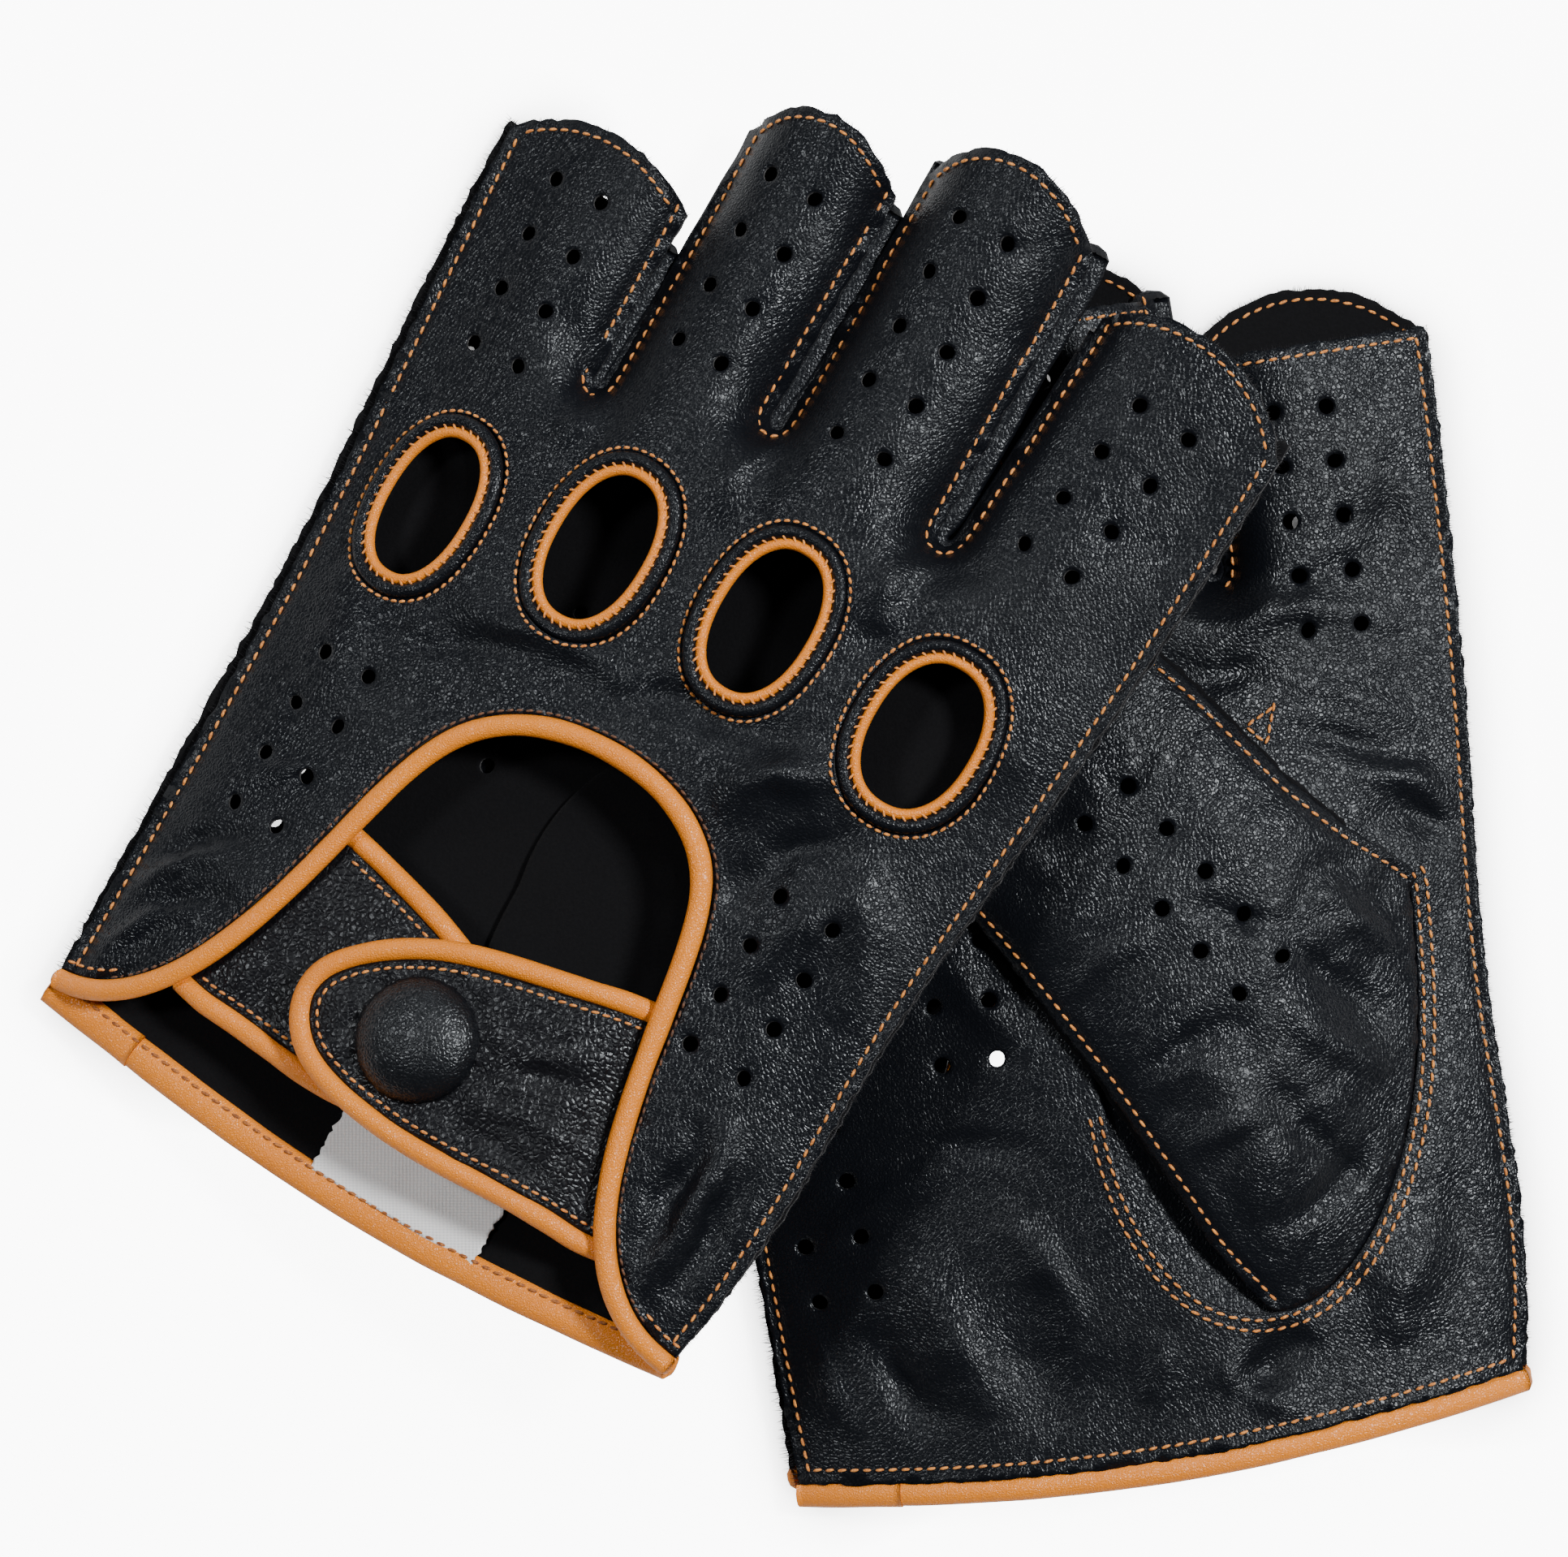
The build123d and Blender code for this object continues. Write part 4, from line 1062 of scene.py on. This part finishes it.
def flap(side, name, lift, body, root, seed):
    """A strap or tab: its leather, the roll round it and its stitches. root is how far it runs under
    the back's opening beyond its hinge end."""
    loops = plan_loops(f"{side}_{name}_outer", side)
    edge = smoothed(resample(free_edge(loops[0], 1 if name == "strap" else -1), 0.8), 3)
    hinge_mid = (edge[0] + edge[-1]) / 2
    away = hinge_mid - edge.mean(0)
    away /= np.linalg.norm(away)
    outline = np.vstack([edge[0] + away * root, edge, edge[-1] + away * root])
    xy, tri = fill(outline, grid=0.95, rows=(0.5, 1.0, 1.6), seed=seed)
    sign = outward(side, "back")
    fullness = 1 if lift > ROOT_LIFT else 0.75

    def flap_level(p):
        past = np.clip(((p - hinge_mid) @ away + 5.0) / 7.5, 0, 1)
        return lift + (ROOT_LIFT - lift) * past * past * (3 - 2 * past)

    def gathers(p):
        """Creases that run from the snap into the strap, and a dip round its cap."""
        d = p - SNAP
        r = np.linalg.norm(d, axis=1)
        angle = np.arctan2(d[:, 1], d[:, 0])
        fan = np.abs(np.sin(angle * 5.5 + 1.4 * hash_noise(p / 4.5, 12)))
        depth = 0.55 * (fan - 0.5) * np.exp(-np.clip(r - 7.5, 0, 99) / 3.4)
        depth = depth - 0.5 * np.exp(-(((r - CAP_RIM) / 1.3) ** 2)) + 0.12 * fractal(p / 2.6, 29, 2)
        return depth + folded(p + wandering(p, 4.0, (23, 27), 2) * 0.6, STRAP_FOLDS, 0.8, 1)

    def height(p):
        crown = 0.45 * (1 - np.exp(-distance_to(p, edge) / 3.0))
        gather = gathers(p) if name == "strap" else 0.16 * fractal(p / 3.4, 33, 2)
        return face_height(p, side, "back", False) + sign * (flap_level(p) + (crown + gather) * fullness)

    z = height(xy)
    pieces = [sheet_object(f"{name}_leather", side, xy, tri, z, z - sign * FLAP_LEATHER,
                           (COARSE, LINING, RAW), body, [f"{name}_outer", f"{name}_lining"])]
    long_edge = smoothed(resample(outline, 0.8), 3)
    path = shifted(long_edge, -1.25)
    z = face_height(path, side, "back", False) + sign * (flap_level(path) - 0.25)
    n = face_normals(path, side, "back")
    wob = 1 + 0.04 * hash_noise(path / 4.0, seed)
    roll = tube(np.column_stack([path, z]), n, STRAP_PIPING * wob, STRAP_PIPING_HEIGHT * wob, sides=18,
                sag=0.15)
    pieces.append(make_object(f"{name}_roll", side, *roll, TAN, body, [f"{name}_piping"]))
    path = shifted(smoothed(resample(long_edge, 0.6), 3), 1.05)[3:-3]
    at = np.column_stack([path, height(path) + sign * STITCH_RAISE])
    sewn = stitches(at, face_normals(path, side, "back"), pitch=1.42, length=1.0, seed=seed)
    pieces.append(make_object(f"{name}_stitches", side, *sewn, THREAD, body, [f"{name}_thread"]))
    return pieces, hinge_mid, away


# the covered cap: radius, height
CAP_PROFILE = [(0, 3.55), (1.2, 3.52), (2.4, 3.4), (3.6, 3.16), (4.7, 2.8), (5.7, 2.32), (6.6, 1.72),
               (7.3, 1.05), (7.75, 0.4), (7.9, -0.15), (7.75, -0.6), (7.3, -0.95), (6.6, -1.1), (4.0, -1.1),
               (0, -1.1)]


def build_cap(side):
    verts, faces = turned(CAP_PROFILE, 96)
    r = np.linalg.norm(verts[:, :2], axis=1)
    wave = 13 * np.arctan2(verts[:, 1], verts[:, 0]) + 2 * hash_noise(verts[:, :2] / 3.0, 6)
    pucker = np.abs(np.sin(wave)) * np.clip((r - 6.2) / 1.6, 0, 1)
    verts[:, :2] *= (1 - 0.018 * pucker)[:, None]
    spot = SNAP[None]
    n = face_normals(spot, side, "back")[0]
    x = np.cross([0.0, 1.0, 0.0], n)
    x /= np.linalg.norm(x)
    axes = np.array([x, np.cross(n, x), n])
    origin = on_face(spot, side, "back", CAP_LIFT[side], False)[0]
    make_object("snap_dome", side, verts @ axes + origin, faces, CAPSKIN, "strap", ["snap_cap"])
    for part in ("snap_socket", "snap_stud", "snap_post"):
        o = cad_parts[f"{side}_{part}"]
        o.data.materials.clear()
        o.data.materials.append(METAL)


# ---------------------------------------------------------------- thumb

THUMB_RISE = {"left": 1.1, "right": 3.4}
THUMB_RUN, THUMB_ROUND = 20.0, 13.0  # how far from its root and its edges the thumb takes to rise
THUMB_FROM, THUMB_TO = (29.0, 24.0), (19.0, 48.0)  # along the thumb, two points passed to bend()
ACROSS_THUMB, ALONG_THUMB = np.array([0.85, 0.53]), np.array([-0.53, 0.85])

# the thumb's outer seam on the palm, from the cuff's end up, and the fold between thumb and index finger
THUMB_OUTER = ((15.5, 13.6), (10, 21.6), (5.2, 32), (-0.4, 44), (-6, 54.4), (-12, 64.8))
LEFT_SPREAD = (0, 4, 9, 12, 12, 8)  # folded under the palm, the left thumb spreads a little wider
THUMB_CROTCH = ((28, 77.5), (30, 75.4), (34, 71), (40.4, 65.6), (42.2, 63.4))

THUMB_FOLDS = [
    ((30, 26), (18, 44), 2.6, -0.9), ((36, 40), (22, 52), 2.4, 0.8), ((36, 46), (24, 60), 2.0, -0.8),
    ((8, 34), (22, 38), 2.0, 0.7), ((4, 44), (18, 50), 1.8, -0.6), ((-4, 56), (10, 62), 2.0, 0.5),
    ((34, 34), (28, 24), 1.8, 0.7), ((38, 54), (30, 66), 1.8, 0.7), ((-12, 72), (4, 80), 2.0, -0.5),
    ((28, 60), (12, 66), 1.6, -0.5), ((30, 30), (16, 24), 1.8, -0.7), ((20, 86), (36, 66), 2.0, -0.7),
]


def thumb_shapes(side):
    """Plan curves: the seam in the palm, the whole skin, the skin's edge under the seam and its two sides."""
    thumb = facing(plan_loops(f"{side}_thumb_front", side)[0], -1)  # up its left side, down its right
    thumb = np.roll(thumb, -int(np.argmin(thumb[:, 1] + 0.2 * thumb[:, 0])), 0)
    seam = smoothed(resample(facing(plan_loops(f"{side}_thumb_gusset", side)[0]), 0.8, True), 2, True)
    tip = thumb[thumb @ ALONG_THUMB > 61.0]
    crotch = np.array([q for q in THUMB_CROTCH if q[0] > tip[-1][0] + 0.8])
    outer = np.array(THUMB_OUTER, float)
    if side == "left":
        outer[:, 0] -= LEFT_SPREAD
    left_side = np.vstack([outer, tip[: max(len(tip) // 2, 1)]])
    right_side = np.vstack([tip[len(tip) // 2 :], crotch])
    i, j = (int(np.argmin(np.linalg.norm(seam - end, axis=1))) for end in (outer[0], THUMB_CROTCH[-1]))
    under = (seam[i : j + 1] if i <= j else np.vstack([seam[i:], seam[: j + 1]]))[::-1]
    skin = np.vstack([outer, tip, crotch, under[1:-1]])
    return seam, skin, under, left_side, right_side


def thumb_seam_rows(side):
    """The double row round the thumb's base, on the palm, and the small stitched triangle above it."""
    seam = resample(facing(plan_loops(f"{side}_thumb_gusset", side)[0]), 0.6, True)
    seam = np.roll(seam, -np.argmax(seam[:, 1]), 0)
    u = smoothed(seam[seam[:, 1] < 64.5], 4)
    left = u[np.argmin(np.abs(u[:, 1] - 41) + 100 * (u[:, 0] > 10))]
    u = u[(u[:, 0] > 10) | (u[:, 1] < left[1])]
    rows = [row(shifted(u, distance), side, "palm", 0.1, seed=i + 101)
            for i, distance in enumerate((-2.15, -0.85))]
    triangle = np.array([(27.6, 86.8), (23.8, 85.0), (26.0, 82.4), (27.6, 86.8)])
    return rows + [row(resample(triangle, 0.5), side, "palm", 0.1, pitch=1.4, length=1.15, seed=107)]


def build_thumb(side):
    seam, skin, under, left_side, right_side = thumb_shapes(side)
    sign = outward(side, "palm")
    full = side == "right"

    # the gusset that the seam holds, under the thumb
    wide = shifted(seam, -0.7, True)
    xy, tri = fill(wide, rows=(0.6,))
    deep = distance_to(xy, wide, True)
    z = face_height(xy, side, "palm", False) - sign * (LEATHER + 0.1)
    z = z + sign * 0.25 * fractal(xy / 9.0, 111, 2) * np.clip(deep / 4, 0, 1)
    if full:
        z = z - 0.4 * np.clip(deep / 5, 0, 1)
    sheet_object("thumb_gusset_skin", side, xy, tri, z, z - sign * LEATHER, SKIN, "glove", ["thumb_gusset"])

    def lift(p):
        """Height of the thumb's outer skin over the palm."""
        d_seam = distance_to(p, under)
        d_side = np.minimum(distance_to(p, left_side), distance_to(p, right_side) * 1.1)
        up = 1 - (1 - np.clip(d_seam / THUMB_RUN, 0, 1)) ** 2
        near = np.clip(np.minimum(d_side, d_seam * 0.9) / THUMB_ROUND, 0, 1)
        crown = THUMB_RISE[side] * np.sqrt(np.clip(1 - (1 - near) ** 2, 0, 1))
        return 0.1 + up * 2.1 + crown * (0.05 + 0.95 * up * up)

    def wrinkles(p):
        q = np.column_stack([p @ ACROSS_THUMB, p @ ALONG_THUMB])
        warp = wandering(p, 9.0, (121, 129), 2)
        ridge = 1 - np.abs(fractal((q + warp * 2.6) / np.array([13.0, 4.4]), 123, 2))
        total = (ridge - 0.62) * 0.5 + 0.4 * fractal(p / 15.0, 127, 2)
        total = total + folded(p + warp * 0.8, THUMB_FOLDS, 0.8, 1.5)
        d_edge = np.minimum(distance_to(p, left_side), distance_to(p, right_side))
        calm = np.clip((np.minimum(d_edge, distance_to(p, under)) - 0.8) / 4, 0, 1)
        groove = -GROOVE * np.exp(-(((d_edge - TIP_INSET) / 0.5) ** 2))
        return total * calm * (1.0 if full else 0.3) + groove

    def top_of(p):
        return face_height(p, side, "palm", False) + sign * (lift(p) + wrinkles(p))

    holes = [q for q in plan_loops(f"{side}_thumb_back", side)[1:] if abs(area_of(q)) < 8]
    xy, tri = fill(skin, punched(holes) if full else [], ragged=0.15, seed=9)
    z = top_of(xy)
    upper = sheet_object("thumb_skin", side, xy, tri, z, z - sign * LEATHER, SKIN, None, ["thumb_back"])
    flat = np.vstack([left_side[1:], right_side[:-2]])
    flat = shifted(resample(flat[flat @ ALONG_THUMB > 20.0], 0.8, True), 0.5, True)
    xy, tri = fill(flat, rows=(0.6,), ragged=0.2, seed=14)
    z = face_height(xy, side, "palm", False) + sign * 0.3
    lower = sheet_object("thumb_underside", side, xy, tri, z, z + sign * LEATHER, SKIN, None, ["thumb_front"])

    rows = []
    for path, first in ((left_side, 0), (right_side, 2)):
        even = shifted(smoothed(resample(path, 0.6), 6), -1.25)[first:-1]
        at = np.column_stack([even, top_of(even) + sign * 0.07])
        rows.append(stitches(at, face_normals(even, side, "palm"), seed=131))
    threads = make_object("thumb_stitches", side, *merged(rows), THREAD, None, ["thumb_thread"])
    bend(side, (upper, lower, threads), "thumb", (*THUMB_FROM, 5.0), (*THUMB_TO, 5.0))


def bend(side, pieces, body, start, end):
    """Bakes each piece's placement into its mesh; the body and the two points are not used."""
    start, end = (tuple(to_world(side, np.array([point]))[0]) for point in (start, end))
    for piece in pieces:
        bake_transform(piece)


for side in PLACE:
    for face in ("back", "palm"):
        build_panel(side, face)
        fuzz(side, face)
    build_back_seams(side)
    build_knuckles(side)
    build_edges(side)
    build_fourchettes(side)
    build_label(side)
    flap(side, "under_tab", TAB_LIFT[side], "glove", 4.0, 51)
    strap_pieces, hinge_mid, away = flap(side, "strap", STRAP_LIFT[side], None, 5.5, 61)
    hinge = hinge_mid + np.outer((1.2, -2.2), away)  # before and past the sewn end
    bend(side, strap_pieces, "strap", *on_face(hinge, side, "back", 0.0, False))
    build_cap(side)
    build_thumb(side)


# ---------------------------------------------------------------- floor, light and camera

FRAME_WIDTH = 0.1932  # width of the picture on the table, in metres
AIM = Vector((-0.0004, 0.0037, 0.012))
CAMERA_HEIGHT = 1.3
SENSOR_WIDTH = 36.0

floor_mesh = bpy.data.meshes.new("floor")
floor_mesh.from_pydata([(-2, -2, 0), (2, -2, 0), (2, 2, 0), (-2, 2, 0)], [], [(0, 1, 2, 3)])
floor = bpy.data.objects.new("floor", floor_mesh)
bpy.context.scene.collection.objects.link(floor)
paper = {"Base Color": (0.93, 0.93, 0.93, 1), "Specular IOR Level": 0.0, "Emission Color": WHITE}
floor_mat, floor_tree, floor_bsdf, _ = new_material("floor_white", 0.9, **paper)
# the white table shows as lit from behind to the camera only, its glow dimmed by ambient occlusion into a
# painted shadow near and under the gloves, and lights the gloves as plain white paper
seen = node(floor_tree, "ShaderNodeLightPath").outputs["Is Camera Ray"]
clear = node(floor_tree, "ShaderNodeAmbientOcclusion", Distance=0.008, samples=6).outputs["AO"]
# painted shadow: the camera-only glow fades where ambient occlusion finds the gloves close above the floor
painted_shadow_glow = maths(floor_tree, "MULTIPLY", maths(floor_tree, "POWER", clear, 2.0), 9.0)
floor_tree.links.new(maths(floor_tree, "MULTIPLY", seen, painted_shadow_glow), floor_bsdf.inputs["Emission Strength"])
floor_mesh.materials.append(floor_mat)

world = bpy.data.worlds.new("studio")
bpy.context.scene.world = world
world.use_nodes = True
background = world.node_tree.nodes["Background"]
background.inputs["Color"].default_value = WHITE
background.inputs["Strength"].default_value = 0.06


def area_light(name, place, size, energy):
    """A soft lamp that faces the middle of the gloves."""
    light = bpy.data.lights.new(name, "AREA")
    light.shape = "RECTANGLE"
    light.size, light.size_y = size
    light.energy = energy
    obj = bpy.data.objects.new(name, light)
    obj.location = place
    obj.rotation_euler = (-Vector(place)).to_track_quat("-Z", "Y").to_euler()
    bpy.context.scene.collection.objects.link(obj)


# metres and watts
area_light("key_left", (-0.8, 0.35, 1.1), (0.26, 0.26), 8.0)
area_light("key_right", (0.74, 0.25, 1.15), (0.22, 0.22), 24.0)
area_light("back", (-0.1, 0.9, 0.7), (0.5, 0.2), 2.5)

camera = bpy.data.cameras.new("camera")
camera.sensor_width = SENSOR_WIDTH
camera.lens = SENSOR_WIDTH * (CAMERA_HEIGHT - AIM.z) / FRAME_WIDTH
camera.clip_start, camera.clip_end = 0.01, 20
camera_obj = bpy.data.objects.new("camera", camera)
camera_obj.location = (AIM.x, AIM.y, CAMERA_HEIGHT)
bpy.context.scene.collection.objects.link(camera_obj)
bpy.context.scene.camera = camera_obj
